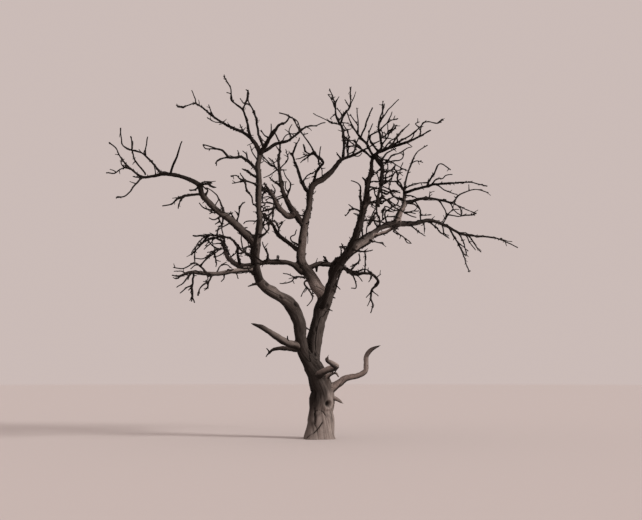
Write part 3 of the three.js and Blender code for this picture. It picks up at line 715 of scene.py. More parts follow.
    seen("leader_hand", 9, -20, (244, 180), (239.6, 181.3), (232, 182.9)),
    seen("leader_hand", 12, -25, (244.6, 180.5), (246.8, 189.1), (251.7, 197.1), (253, 203), (255.7, 205.2)),
    seen("leader_hand", 9, 25, (244.6, 179.7), (240.1, 172.6)),
    # the center's rungs and loops
    seen("cross_twig", 9, 30, (275.5, 165.2), (273.6, 161.7), (270.7, 159.1), (268.2, 157.2),
         name="cross_arc"),
    seen("cross_arc", 9, -30, (273.6, 166.1), (271, 165.5), (265.3, 161), (262.4, 158.5)),
    seen("center_left", 12, 30, (279.6, 185), (273.6, 180.8), (269.5, 177)),
    seen("center_left", 9, -25, (279.2, 150.5), (277.4, 147), (274.9, 143.2)),
    seen("center_left", 9, 20, (281, 169.4), (286.5, 169.5)),
    seen("loop_inner", 9, -30, (286.7, 191), (285.7, 188.5), (285.4, 181.5)),
    seen("center_left", 9, 35, (284.5, 192), (283.2, 189), (282.8, 180.8)),
    seen("loop_inner", 7, -20, (289.8, 183.5), (291, 182.4)),
    seen("center_left", 9, 30, (282.8, 195), (276.1, 196.8)),
    seen("center_left", 9, -25, (283, 196.8), (277.4, 199.6), (280, 205), (280.6, 207.6)),
    seen("left_leader", 9, 25, (261.8, 188), (264.7, 191), (262.8, 194.8), (262.4, 197.4), (263.4, 202.5),
         (265.3, 203.1), name="rungs"),
    seen("center_curve", 9, -25, (272.5, 195.8), (271, 196.8), (265.3, 200)),
    seen("ladder_down", 9, 30, (273.8, 206.4), (268.5, 208.6), (263.7, 210.2), (264, 207.6), (267.2, 206.3),
         (269.8, 206.3)),
    seen("left_leader", 9, -30, (260.8, 207.5), (265.3, 203.8)),
    seen("ladder_down", 9, 25, (273.5, 212.2), (266.6, 215.3), (261, 217.8)),
    seen("center_low_left", 7, -20, (267.9, 218.4), (268.5, 215.3)),
    seen("rungs", 7, 30, (261.5, 189.5), (267.9, 191), (269.1, 194.2), (271, 195.5)),
    seen("center_low_left", 9, -25, (262.8, 215.3), (265.3, 217.2), (267.9, 222.9), (269.1, 229.3),
         (267.2, 231.2), (261.5, 236.9)),
    seen("low_left_rise", 7, 25, (275.5, 224.8), (278.1, 224.8), (281.9, 221.3)),
    seen("mid_cross", 9, -25, (312.5, 153.7), (308.7, 153.4), (304.5, 149.6), (303.3, 144.1),
         name="mid_hand"),
    seen("mid_hand", 7, 25, (311.2, 155.3), (307.4, 155), (302.9, 154), name="mid_hand_low"),
    seen("mid_hand_low", 9, -30, (311.2, 155.6), (304.2, 159.1), (300.4, 162.3)),
    seen("center_mid", 9, 30, (318.9, 157.1), (319.2, 163.6), (321.5, 168.7), (322.2, 174.6)),
    seen("center_rear", 7, 25, (292.1, 154.3), (288.9, 152.4)),
    seen("center_mid", 7, -20, (309.3, 174.8), (311.5, 176.7)),
    # round the hanging bough
    seen("hang_rise_rear", 9, 25, (356, 262.5), (350.3, 266.3)),
    seen("hanging_bough", 7, -25, (356, 276.7), (359.4, 277.2), (362.3, 281)),
    seen("right_leader", 7, 30, (337.6, 253.5), (340.5, 246.2)),
    seen("right_stem", 7, -20, (330.9, 308.2), (332.4, 310.6)),
    seen("right_stem", 12, 10, (333, 297.5), (335.4, 297.8)),
    seen("stem_strand", 7, -25, (336.9, 285), (340.2, 289)),
    # under the right bough
    seen("mid_drop_up", 9, 25, (447.2, 214.7), (458, 215.8), (468, 214.8), (476.5, 212.5)),
    seen("right_bough_outer", 9, -25, (458.5, 232.8), (463.8, 242), (465.5, 249.5), (466.7, 255.3)),
    seen("right_bough_outer", 9, 30, (441.4, 225.5), (444.8, 233), (448.9, 235)),
    seen("mid_inner_drop", 7, -20, (423.2, 215.5), (431.5, 214.3)),
    seen("mid_right", 7, 20, (468.4, 189), (468.8, 184)),
    # low down
    seen("left_stem", 18, 10, (303, 321.5), (309.5, 329.5)),
    seen("trunk", 24, -30, (320, 380.5), (326, 377.2), (331, 373.8), (336, 372.6), (338.5, 376.4), tip=9,
         pale=1.3),
    Sprig("right_leader", 15, -20, at=0.8, runs=((90, 122), (44, 139)), tip=7),
    Sprig("right_leader", 9, 15, at=0.79, runs=((100, 98),)),
    Sprig("right_leader", 19, -25, at=0.64, runs=((85, 48), (105, 64)), tip=15, pale=0.7),
)


@dataclass(frozen=True)
class Knot:
    """The scar of a lost branch: where on a node it lies, the way it faces, and its size.

    The share is along the node and the facing is round the world's Z axis in degrees, 0 to the
    right and -90 towards the viewer.  Stretch is its length along the grain over its width.
    """

    node: str
    share: float
    facing: float
    size: float
    hollow: float
    stretch: float = 1.0

    def mark(self, points: Array, spot: Array, grain: Array) -> tuple[Array, Array]:
        """A raised lip round a hollow.

        With d the distance over the size, the lip is a bell curve round d = 1, and the hollow a
        smooth pit inside it.

        Args:
            points: points of the limb's surface.
            spot: the middle of the knot.
            grain: the direction of the grain there.

        Returns:
            The height at each point, and how dark it is, from 0 to 1.
        """
        apart = points - spot
        drawn = (apart @ grain)[..., None] * grain * (1 - 1 / self.stretch)
        apart = np.linalg.norm(apart - drawn, axis=-1) / self.size
        lip = 0.24 * np.exp(-(((apart - 1.05) / 0.42) ** 2))
        pit = step_up(-apart, -0.95, -0.25)
        # The second value paints shade into the knot's pit.
        return self.size * (lip - self.hollow * pit), self.hollow * step_up(-apart, -0.9, -0.35)


@dataclass(frozen=True)
class Patch:
    """A pale patch, partly bare silvery wood and partly painted light on a lit flank: where on a node
    it lies, the way it faces, its size along and across the grain in metres, and how pale it is."""

    node: str
    share: float
    facing: float
    length: float
    width: float
    pale: float

    def bare(self, points: Array, spot: Array, grain: Array) -> Array:
        """How much of the patch shows: a bell curve along the grain and across it.

        Args:
            points: points of the limb's surface.
            spot: the middle of the patch.
            grain: the direction of the grain there.

        Returns:
            The share at each point, from 0 to 1.
        """
        apart = points - spot
        along = apart @ grain
        across = np.einsum("ijk,ijk->ij", apart, apart) - along**2
        return np.exp(-((along / self.length) ** 2) - across / self.width**2)


KNOTS = (
    Knot("trunk", 0.55, -58, 0.065, 0.9),
    Knot("trunk", 0.3, -112, 0.034, 0.5, 2.4),
    Knot("trunk", 0.74, 105, 0.045, 0.6, 1.8),
    Knot("trunk", 0.42, -76, 0.013, 0.8, 1.2),
    Knot("trunk", 0.42, 80, 0.04, 0.7, 1.6),
    Knot("left_elbow", 0.1, -38, 0.044, 0.8, 1.3),
    Knot("left_elbow", 0.5, -80, 0.018, 0.6, 1.4),
    Knot("left_stem", 0.6, 60, 0.03, 0.5, 1.5),
    Knot("right_stem", 0.35, -100, 0.028, 0.4, 1.8),
    Knot("right_stem", 0.7, 20, 0.035, 0.6),
    Knot("right_stem", 0.55, 120, 0.04, 0.7, 1.3),
    Knot("center_stem", 0.3, -60, 0.028, 0.5),
    Knot("left_elbow", 0.45, -110, 0.026, 0.6, 1.6),
    Knot("left_leader", 0.25, -80, 0.03, 0.5),
    Knot("right_leader", 0.2, -120, 0.032, 0.6, 1.4),
    Knot("right_bough", 0.5, -80, 0.026, 0.5, 1.5),
)

# Pale patches: partly bare wood, partly painted light on flanks that face the light.
PATCHES = (
    Patch("center_stem", -0.22, -75, 0.17, 0.12, 0.75),
    Patch("left_elbow", 0.6, -40, 0.2, 0.05, 0.35),
    Patch("trunk", 0.8, -30, 0.12, 0.1, 0.3),
)

# The drying cracks low on the trunk, two in front and one behind: points of height and facing.
CRACKS = (
    ((0.22, -82), (0.16, -94), (0.09, -112), (0.02, -132)),
    ((0.42, -122), (0.3, -112), (0.2, -112)),
    ((0.5, 60), (0.3, 76), (0.1, 70)),
)
# The cracks are cut in and also painted dark as shade.
CRACK_WIDTH, CRACK_DEPTH = 0.008, 0.02


def step_up(value: Array, low: float, high: float) -> Array:
    """Smooth step: 0 up to low, 1 from high, and 3t^2 - 2t^3 between them."""
    share = np.clip((value - low) / (high - low), 0.0, 1.0)
    return share * share * (3.0 - 2.0 * share)


def from_share(low: float, share: Array) -> Array:
    """A share moved up so that it goes from low to 1: low + (1 - low) * share."""
    return low + (1.0 - low) * share


def unit(vectors: Array) -> Array:
    """Vectors of length one: each divided by its length."""
    return vectors / np.maximum(np.linalg.norm(vectors, axis=-1, keepdims=True), 1e-9)


def heading_vector(heading: Array, lean: float) -> Array:
    """The direction of a run: its heading in the picture plane, tilted away by its lean.

    Args:
        heading: in degrees, 0 to the right and 90 up.
        lean: in degrees.

    Returns:
        A unit vector for each heading.
    """
    turn, tilt = np.radians(heading), math.radians(lean)
    flat = math.cos(tilt)
    return np.stack([flat * np.cos(turn), np.full_like(turn, math.sin(tilt)), flat * np.sin(turn)], -1)


def facing_vector(facing: float) -> Array:
    """The level direction at a number of degrees round the world's Z axis."""
    turn = math.radians(facing)
    return np.array([math.cos(turn), math.sin(turn), 0.0])


def ways_along(points: Array) -> Array:
    """The way from the first point to each, along straight lines, from x, y and z in metres."""
    return np.concatenate([[0], np.cumsum(np.linalg.norm(np.diff(points[:, :3], axis=0), axis=1))])


def read_off(table: Array, ways: Array, at: Array) -> Array:
    """The rows of a table at some ways along it, with each column joined by straight lines."""
    return np.stack([np.interp(at, ways, column) for column in table.T], -1)


class RoundNoise:
    """Noise round and along a limb that closes on itself: random heights on a grid of cells,
    joined by smooth steps both ways, with the last cell round the limb next to the first."""

    def __init__(self, rng: np.random.Generator, around: int, along: int) -> None:
        """Draws the heights for a number of cells round the limb and along it."""
        self.around = around
        self.grid = rng.uniform(-1.0, 1.0, (along + 3, around))

    def at(self, turn: Array, along: Array) -> Array:
        """The heights at some places, eased between the four grid points round each.

        Args:
            turn: the way round the limb in whole turns.
            along: the way along it in cells.

        Returns:
            The heights, from -1 to 1.
        """
        across = np.mod(turn, 1.0) * self.around
        column = np.floor(across).astype(int)
        row = np.clip(np.floor(along).astype(int), 0, self.grid.shape[0] - 2)
        u, v = across - column, np.clip(along - row, 0.0, 1.0)
        u, v = u * u * (3 - 2 * u), v * v * (3 - 2 * v)
        left, right = column % self.around, (column + 1) % self.around
        low = self.grid[row, left] * (1 - u) + self.grid[row, right] * u
        high = self.grid[row + 1, left] * (1 - u) + self.grid[row + 1, right] * u
        return low * (1 - v) + high * v


def smooth_curve(points: Array, step: float) -> Array:
    """A centripetal Catmull-Rom curve through points, cut into even steps of its own length.

    Each span is the cubic Hermite curve between two points, whose slopes come from the square
    roots of the gaps.  The columns after the third, such as the radius, are carried along.

    Args:
        points: one row for each point, with x, y and z first.
        step: the length of a step in metres.

    Returns:
        One row for each step, from the first point to the last.
    """
    ends = np.vstack([2 * points[0] - points[1], points, 2 * points[-1] - points[-2]])
    gaps = np.sqrt(np.maximum(np.linalg.norm(np.diff(ends[:, :3], axis=0), axis=1), 1e-6))[:, None]
    before, span, after = gaps[:-2], gaps[1:-1], gaps[2:]
    p0, p1, p2, p3 = ends[:-3], ends[1:-2], ends[2:-1], ends[3:]
    slope_in = span * ((p1 - p0) / before - (p2 - p0) / (before + span) + (p2 - p1) / span)
    slope_out = span * ((p2 - p1) / span - (p3 - p1) / (span + after) + (p3 - p2) / after)
    t = np.linspace(0, 1, 24, endpoint=False)[None, :, None]
    fine = (
        (2 * t**3 - 3 * t**2 + 1) * p1[:, None]
        + (t**3 - 2 * t**2 + t) * slope_in[:, None]
        + (-2 * t**3 + 3 * t**2) * p2[:, None]
        + (t**3 - t**2) * slope_out[:, None]
    ).reshape(-1, points.shape[1])
    fine = np.vstack([fine, points[-1]])
    length = ways_along(fine)
    count = max(int(round(length[-1] / step)), 3) + 1
    return read_off(fine, length, np.linspace(0, length[-1], count))


def wander(line: Array, seed: int, size: float, wave: float) -> Array:
    """Small crooks of the middle line: each axis gets straight-line noise with knees a wave apart.

    Args:
        line: rings with x, y, z and the radius.
        seed: draws the knees.
        size: how far a knee may stand off, in metres.
        wave: the way between two knees.

    Returns:
        The line with its crooks, which die away at both ends.
    """
    rng = np.random.default_rng(seed)
    along = ways_along(line)
    knees = np.arange(0, along[-1] + 2 * wave, wave) * rng.uniform(0.9, 1.1)
    fade = step_up(along, 0.0, 1.2 * wave) * step_up(along[-1] - along, 0.0, 0.6 * wave)
    moved = line.copy()
    for axis in range(3):
        moved[:, axis] += size * fade * np.interp(along, knees, rng.uniform(-1, 1, len(knees)))
    swell = np.interp(along, knees * 0.8, rng.uniform(-1, 1, len(knees)))
    moved[:, 3] *= 1.0 + 0.08 * fade * swell
    return moved


def frame_rings(node: str) -> tuple[Array, Array]:
    """The ring centres and radii of a frame node, from root to tip.

    The node's loose triangles are merged.  Its tip is the point whose neighbours all lie equally
    far from it, and each ring is the set of points one edge further from the tip than the last.

    Args:
        node: the name of the node.

    Returns:
        The centres, one row for each whole ring, and the mean radii.
    """
    mesh = frame["nodes"][node].data
    points = np.empty(len(mesh.vertices) * 3, np.float32)
    mesh.vertices.foreach_get("co", points)
    points = points.reshape(-1, 3).astype(float)
    corners = np.empty(len(mesh.loops), np.int32)
    mesh.loops.foreach_get("vertex_index", corners)
    _, first, merged = np.unique(np.round(points, 4), axis=0, return_index=True, return_inverse=True)
    spots, corners = points[first], merged.reshape(-1)[corners].reshape(-1, 3)
    near = np.zeros((len(spots), len(spots)), bool)
    for one, other in ((0, 1), (1, 2), (2, 0)):
        near[corners[:, one], corners[:, other]] = True
        near[corners[:, other], corners[:, one]] = True
    gap = np.linalg.norm(spots[:, None] - spots[None], axis=2)
    edges = near.sum(1)
    mean = (gap * near).sum(1) / edges
    spread = np.sqrt((((gap - mean[:, None]) * near) ** 2).sum(1) / edges)
    poles = np.flatnonzero((spread < 0.01 * mean) & (edges >= 5))
    tip = poles[np.argmin(mean[poles])]
    reached = np.arange(len(spots)) == tip
    ring, centers, radii = reached, [], []
    while (ring := near[ring].any(0) & ~reached).sum() == edges[tip]:
        reached = reached | ring
        centers.append(spots[ring].mean(0))
        radii.append(np.linalg.norm(spots[ring] - centers[-1], axis=1).mean())
    return np.array(centers[::-1]), np.array(radii[::-1])


@dataclass(frozen=True)
class Flare:
    """The trunk's foot, whose lobes die away upwards, with slow ridges that run further up."""

    depth: float = 0.26
    height: float = 0.11
    lobes: int = 4
    turn: float = -0.5
    ridges: int = 3
    ridge_depth: float = 0.05
    spread: float = 0.3

    def mean(self, height: Array) -> Array:
        """The mean share by which the lobes widen the trunk at a height."""
        return 1.0 + 0.5 * self.depth * np.exp(-height / self.height)

    def share(self, angle: Array, height: Array) -> Array:
        """How wide the trunk is: the lobes are a cosine round the trunk, and so are the ridges.

        Args:
            angle: the way faced, in radians.
            height: the height above the ground.

        Returns:
            The width as a share of the plain radius.
        """
        lobe = 0.5 + 0.5 * np.cos(self.lobes * (angle - self.turn))
        ridge = np.cos(self.ridges * (angle - self.turn) - 2.0 * height)
        lobes = self.depth * lobe * np.exp(-height / self.height)
        return 1.0 + lobes + self.ridge_depth * ridge * np.exp(-height / self.spread)


@dataclass
class Relief:
    """The weathered surface of one limb, as a height above its smooth round form.

    Rings of cells get finer and finer: at each size the height is the absolute value of round
    noise, so ridges are rounded and the valleys between them are sharp creases.  The creases are
    drawn out along the grain, which twists slowly round the limb.  A layer is the number of cells
    round the limb, the length of a cell in radii of the limb, and the height over a cell's width.
    The cells of the warp, of the cracks, of where they are open and of the lumps have lengths too.
    """

    seed: int
    reach: float
    twist: float = 0.8
    layers: tuple[tuple[int, float, float], ...] = (
        (4, 2.6, 0.05),
        (8, 3.0, 0.07),
        (16, 3.4, 0.085),
        (32, 2.4, 0.09),
        (64, 1.7, 0.08),
    )
    shown_widths: Pair = (0.007, 0.016)
    dark_from: int = 16
    warp: float = 0.035
    warp_cell: float = 2.0
    crack_cell: float = 5.0
    crack_step: float = 0.002
    crack_widths: Pair = (0.002, 0.006)
    crack_depth: float = 0.012
    cracked_radii: Pair = (0.014, 0.04)
    open_cell: float = 3.5
    lump: float = 0.07
    lump_cell: float = 1.1

    def __post_init__(self) -> None:
        """Draws the grids of all the noises, long enough for the whole limb."""
        rng = np.random.default_rng(self.seed)
        self.layer_noises = [self._noise(rng, around, cell) for around, cell, _ in self.layers]
        self.warp_noise = self._noise(rng, 3, self.warp_cell)
        self.crack_noise = self._noise(rng, 9, self.crack_cell)
        self.open_noise = self._noise(rng, 3, self.open_cell)
        self.lump_noise = self._noise(rng, 4, self.lump_cell)

    def _noise(self, rng: np.random.Generator, around: int, cell: float) -> RoundNoise:
        """Noise with a number of cells round the limb, and cells of a length in radii along it."""
        return RoundNoise(rng, around, int(self.reach / cell) + 2)

    def height(self, travel: Array, along: Array, angle: Array, radius: Array) -> tuple[Array, Array]:
        """The height of the surface above the round limb.

        Args:
            travel: the way along the limb, counted in radii of the limb there.
            along: the way along the limb in metres.
            angle: the angle round the limb in radians.
            radius: the limb's radius there.

        Returns:
            The height in metres, and how much painted shade each point gets in the creases and cracks, from
            0 to 1.
        """
        turn = (angle + self.twist * along) / (2 * math.pi)
        turn = turn + self.warp * self.warp_noise.at(turn, travel / self.warp_cell)
        height = np.zeros_like(turn + radius)
        cleft = np.zeros_like(height)
        for noise, (around, cell, share) in zip(self.layer_noises, self.layers):
            width = 2 * math.pi * radius / around
            shown = step_up(width, *self.shown_widths)
            value = np.abs(noise.at(turn, travel / cell))
            height += share * width * shown * (2.0 * value - 0.8)
            # Painted shade in the sharp creases between ridges of the finer layers.
            cleft += 0.35 * shown * step_up(-value, -0.16, 0.0) * (around >= self.dark_from)
        # The cracks are cut into the surface and also painted dark as shade.
        deep = self._cracks(turn, travel, radius)
        height -= deep * np.minimum(0.12 * radius, self.crack_depth)
        height += self.lump * radius * self.lump_noise.at(turn, travel / self.lump_cell)
        return height, np.clip(cleft * 0.8 + deep, 0.0, 1.0)

    def _cracks(self, turn: Array, travel: Array, radius: Array) -> Array:
        """How deep in a crack each point lies.

        The cracks run where noise is zero.  The way to one is the noise over its slope round the
        limb, and the depth is a bell curve of that way.

        Args:
            turn: the way round the limb in whole turns.
            travel: the way along the limb in radii.
            radius: the limb's radius there.

        Returns:
            The depths, from 0 to 1.
        """
        value = self.crack_noise.at(turn, travel / self.crack_cell)
        beside = self.crack_noise.at(turn + self.crack_step, travel / self.crack_cell)
        slope = (beside - value) / self.crack_step
        gap = np.abs(value) / np.maximum(np.abs(slope), 1.0) * 2 * math.pi * radius
        open_here = step_up(self.open_noise.at(turn, travel / self.open_cell), -0.1, 0.35)
        open_here = open_here * step_up(radius, *self.cracked_radii)
        return np.exp(-((gap / np.clip(0.06 * radius, *self.crack_widths)) ** 2)) * open_here


@dataclass(frozen=True)
class PaleAndPaintedLight:
    """How pale the wood is: partly its own weathered, silvery tone, and partly painted light and shade.

    Lit is how far a flank has to face the way of the painted light, as a cosine, to take its whole
    share, and the flank turned away keeps only the shady share, as painted shade.  Thick is the radii
    between which wood takes its whole share.  The trunk's foot is pale up to a wavy edge, which is
    lower on its left side than on its right, and only on wood of the foot's radii: the foot's own pale
    tone, with the lower edge and darker tone on its left side painted shade.
    """

    shady: float = 0.04
    lit: Pair = (-0.3, 0.8)
    thin: float = 0.35
    thick: Pair = (0.008, 0.045)
    sprig: float = 0.6
    foot: float = 0.6
    foot_top: Pair = (0.6, 0.98)
    foot_fade: float = 0.36
    foot_radii: Pair = (0.05, 0.12)
    foot_left: float = 0.35
    root_height: float = 0.25

    def own(self, pale: Array, radius: Array, lit: Array) -> Array:
        """A limb's own paleness on its flanks, painted paler on the flank that faces the painted light and
        darker, as shade, on the flank turned away.
        """
        share = pale * from_share(self.shady, step_up(lit, *self.lit))
        return share * from_share(self.thin, step_up(radius, *self.thick))

    def at_foot(self, height: Array, radius: Array, out: Array) -> Array:
        """The paleness of the trunk's foot: its own pale tone, lower and darker on its left side as painted
        shade.

        Args:
            height: the height above the ground.
            radius: the limb's radius there.
            out: the way each point faces.

        Returns:
            The paleness, from 0 to 1.
        """
        turn = np.arctan2(out[..., 1], out[..., 0])
        low, high = self.foot_top
        # Painted shade: the pale edge sits lower on the left-facing side.
        limit = low + (high - low) * step_up(out[..., 0], 0.05, 0.95)
        limit = limit + 0.05 * np.sin(4 * turn + 1.3) + 0.03 * np.sin(11 * turn)
        share = step_up(limit - height, 0.0, self.foot_fade) * step_up(radius, *self.foot_radii)
        # Painted shade: left-facing wood of the foot keeps only part of its paleness, except close to the
        # ground.
        toward = out[..., 0] + 1.8 * np.clip(self.root_height - height, 0.0, self.root_height)
        return self.foot * (share * from_share(self.foot_left, step_up(toward, -1.0, 0.5)))


PALE_AND_PAINTED_LIGHT = PaleAndPaintedLight()


@dataclass
class Stem:
    """A limb or branchlet as a row of rings along its middle line.

    The surface is middle line plus radius times the outward direction at each angle.  Two cross
    axes, across and beside, are carried along the line with no twist of their own.  Stretch says
    between which ways along the line each of its nodes lies, and joined lists the limbs that it
    forks with.
    """

    nodes: tuple[str, ...]
    line: Array
    side: Side
    pale: Array
    seed: int
    end: End = End.TAPERED
    bearer: "Stem | None" = None
    stretch: dict[str, Pair] = field(default_factory=dict)
    joined: list["Stem"] = field(default_factory=list)
    flare: Flare | None = None
    fillet: float = 0.45
    spurs: bool = True
    painted_light_way: Triple = RIGHT_FRONT
    knots: list[tuple[Array, Array, Knot]] = field(default_factory=list)
    patches: list[tuple[Array, Array, Patch]] = field(default_factory=list)
    cracks: list[Array] = field(default_factory=list)
    grain_stretch: float = 0.1

    def __post_init__(self) -> None:
        """Works out the ways along the line, the cross axes and the relief."""
        self.spots, self.radii = self.line[:, :3], self.line[:, 3]
        self.along = ways_along(self.line)
        steps = np.linalg.norm(np.diff(self.spots, axis=0), axis=1)
        between = 0.5 * (self.radii[1:] + self.radii[:-1])
        self.travel = np.concatenate([[0], np.cumsum(steps / np.maximum(between, 0.004))])
        self.tangents = unit(np.gradient(self.spots, axis=0))
        self.across = self._carried_axes()
        self.beside = np.cross(self.tangents, self.across)
        self.relief = Relief(self.seed, self.travel[-1])
        if not self.stretch:
            self.stretch = {self.nodes[0]: (0.0, self.along[-1])}

    def _carried_axes(self) -> Array:
        """Carries an axis along the line: the last one, less its part along the new tangent.

        Returns:
            The across axis at each ring.
        """
        axes = np.empty_like(self.tangents)
        start = np.cross([0.0, 1.0, 0.0], self.tangents[0])
        axes[0] = unit(start if np.linalg.norm(start) > 0.1 else np.array([1.0, 0.0, 0.0]))
        for index in range(1, len(axes)):
            last = axes[index - 1]
            axes[index] = unit(last - self.tangents[index] * (last @ self.tangents[index]))
        return axes

    def point(self, node: str, share: float) -> tuple[Array, float, int]:
        """The middle line a share of the way along one of the stem's nodes.

        Args:
            node: the node.
            share: 0 at its root and 1 at its tip.

        Returns:
            The middle point, the radius and the nearest ring's number.
        """
        low, high = self.stretch[node]
        way = low + share * (high - low)
        *spot, radius = read_off(self.line[:, :4], self.along, way)
        return np.array(spot), float(radius), int(np.argmin(np.abs(self.along - way)))

    def share_seen(self, node: str, point: Pair) -> float:
        """How far along one of the stem's nodes a picture point lies.

        Args:
            node: the node.
            point: the picture point.

        Returns:
            The share at the ring that is seen nearest to it.
        """
        low, high = self.stretch[node]
        apart = np.linalg.norm(PHOTO.points(self.spots) - np.array(point), axis=1)
        apart[(self.along < low - 1e-6) | (self.along > high + 1e-6)] = np.inf
        return float((self.along[np.argmin(apart)] - low) / (high - low))

    def gap_to(self, points: Array, rows: slice) -> tuple[Array, Array]:
        """How far points lie outside the smooth limb, and the way out of it.

        The gap is the distance to the nearest point of the middle line less the radius there.

        Args:
            points: the points, one row each.
            rows: the rings to measure to.

        Returns:
            The gaps, below zero inside, and the unit vectors that point straight out.
        """
        start, radius = self.spots[rows][:-1], self.radii[rows]
        leg = self.spots[rows][1:] - start
        size = np.maximum((leg * leg).sum(1), 1e-12)
        share = np.clip(((points @ leg.T) - (start * leg).sum(1)) / size, 0.0, 1.0)
        square = np.zeros_like(share)
        for axis in range(3):
            square += (points[:, axis, None] - start[:, axis] - share * leg[:, axis]) ** 2
        gap = np.sqrt(square) - (radius[:-1] + share * (radius[1:] - radius[:-1]))
        best = np.argmin(gap, axis=1)
        pick = np.arange(len(points))
        spot = start[best] + share[pick, best, None] * leg[best]
        return gap[pick, best], unit(points - spot)

    def columns(self) -> Array:
        """How many points go round each ring: a power of two by its girth, never more further out.

        Returns:
            The numbers of points.
        """
        girth = 2 * math.pi * self.radii / COLUMN_WIDTH
        power = np.clip(np.round(np.log2(np.maximum(girth, 1.0))), FEWEST_POWER, MOST_POWER)
        return (2 ** np.maximum.accumulate(power[::-1])[::-1]).astype(int)

    def surface(self, rows: Array, count: int) -> tuple[Array, Array, Array, Array]:
        """The points of some rings, with count points round each.

        Args:
            rows: the indices of the rings.
            count: the number of points round a ring.

        Returns:
            The points, the grain coordinates that follow the surface, the painted shade in clefts, cracks
            and knot pits, and the paleness, which holds painted light, each with one row for a ring and one
            column for an angle.
        """
        angle = (2 * math.pi * np.arange(count) / count)[None, :]
        radius, along = self.radii[rows][:, None], self.along[rows][:, None]
        across, beside = self.across[rows][:, None], self.beside[rows][:, None]
        out = np.cos(angle)[..., None] * across + np.sin(angle)[..., None] * beside
        spots = self.spots[rows][:, None]
        round_radius = radius + 0.0 * angle
        if self.flare is not None:
            facing = np.arctan2(out[..., 1], out[..., 0])
            round_radius = round_radius * self.flare.share(facing, spots[..., 2])
        if self.end is End.SNAPPED:
            round_radius = round_radius * self._break(along, angle)
        points = self._filleted(spots + round_radius[..., None] * out)
        height, cleft = self.relief.height(self.travel[rows][:, None], along, angle, radius)
        # Knot pits and cracks are painted dark as shade.
        for spot, way, knot in self.knots:
            rise, dark = knot.mark(points, spot, way)
            height, cleft = height * (1 - PIT_CALM * dark) + rise, np.maximum(cleft, dark)
        for path in self.cracks:
            dark = self._crack(points, path)
            height, cleft = height - CRACK_DEPTH * dark, np.maximum(cleft, dark)
        height = height * step_up(self.along[-1] - along, 0.0, TIP_FADE)
        points = points + height[..., None] * out
        turned = angle + self.relief.twist * along
        ahead = self.grain_stretch * along + 0 * angle
        grain = np.stack([radius * np.cos(turned), radius * np.sin(turned), ahead], -1)
        return points, grain + self.seed * GRAIN_SHIFT, cleft, self.paleness(points, rows, out)

    def paleness(self, points: Array, rows: Array, out: Array) -> Array:
        """How pale the wood is: painted paler on the flank that faces the painted light and darker on the
        far flank, pale at the foot, where its left side is painted darker as shade, paler where it is thick,
        and paler on the patches.

        Args:
            points: points of the surface.
            rows: the ring of each row of points.
            out: the way each point faces.

        Returns:
            The paleness, from 0 to 1.
        """
        radius = self.radii[rows][:, None]
        # Painted light and shade: paleness by how far each point faces the limb's painted light.
        own = PALE_AND_PAINTED_LIGHT.own(self.pale[rows][:, None], radius, out @ np.array(self.painted_light_way))
        for spot, grain, patch in self.patches:
            # The patches paint in pale wood, partly bare wood and partly painted light.
            own = own + (patch.pale - own) * patch.bare(points, spot, grain)
        return np.clip(np.maximum(own, PALE_AND_PAINTED_LIGHT.at_foot(points[..., 2], radius, out)), 0.0, 1.0)

    def _break(self, along: Array, angle: Array) -> Array:
        """A broken end: the radius falls away before the tip, sooner or later round the limb.

        Args:
            along: the way along the limb in metres.
            angle: the angle round the limb.

        Returns:
            The share of the radius that is left.
        """
        radius = float(np.interp(0.9, self.along / self.along[-1], self.radii))
        ragged = 1.2 + 0.9 * np.cos(angle + self.seed) + 0.5 * np.cos(3 * angle + 2 * self.seed)
        left = (self.along[-1] - along) / radius - ragged
        return from_share(0.25, np.sqrt(np.clip(left / 0.8, 0.0, 1.0)))

    def _filleted(self, points: Array) -> Array:
        """Moves the points near a fork out to one smooth skin round both limbs.

        With a and b the gaps to the two limbs and k the fillet's size, the skin is where
        min(a, b) - max(k - |a - b|, 0)^2 / 4k is zero.  Each point takes a few Newton steps.

        Args:
            points: points of the round limb.

        Returns:
            As many points again.
        """
        flat = points.reshape(-1, 3).copy()
        for other in self.joined:
            child, bearer = (self, other) if other is self.bearer else (other, self)
            root = child.spots[0]
            size = child.fillet * child.radii[0]
            nearest = np.argmin(np.linalg.norm(bearer.spots - root, axis=1))
            reach = FORK_RADII * child.radii[0] + float(bearer.radii[nearest])
            chosen = np.flatnonzero(np.linalg.norm(flat - root, axis=1) < reach)
            if not len(chosen):
                continue
            own_rows, other_rows = (stem._near(root, reach + FORK_MARGIN) for stem in (self, other))
            for _ in range(FORK_STEPS):
                near = flat[chosen]
                a, out_a = self.gap_to(near, own_rows)
                b, out_b = other.gap_to(near, other_rows)
                share = np.maximum(size - np.abs(a - b), 0.0) / size
                skin = np.minimum(a, b) - share**2 * size / 4
                weight = np.where(a < b, 1 - share / 2, share / 2)[:, None]
                slope = weight * out_a + (1 - weight) * out_b
                push = -skin * share * step_up(b, -0.8 * size, -0.1 * size)
                flat[chosen] += push[:, None] * slope / np.maximum((slope * slope).sum(1), 0.2)[:, None]
        return flat.reshape(points.shape)

    def _near(self, root: Array, reach: float) -> slice:
        """The run of rings that lie within reach of a point."""
        close = np.flatnonzero(np.linalg.norm(self.spots - root, axis=1) < reach)
        return slice(max(close[0] - 1, 0), close[-1] + 2)

    @staticmethod
    def _crack(points: Array, path: Array) -> Array:
        """How deep in a crack each point lies: a bell curve of its distance to the crack's path.

        Args:
            points: points of the surface.
            path: the points of the crack.

        Returns:
            The depths, from 0 to 1.
        """
        gap = np.full(points.shape[:-1], np.inf)
        for start, stop in zip(path[:-1], path[1:]):
            leg = stop - start
            share = np.clip(((points - start) @ leg) / (leg @ leg), 0.0, 1.0)
            gap = np.minimum(gap, np.linalg.norm(points - start - share[..., None] * leg, axis=-1))
        return np.exp(-((gap / CRACK_WIDTH) ** 2))


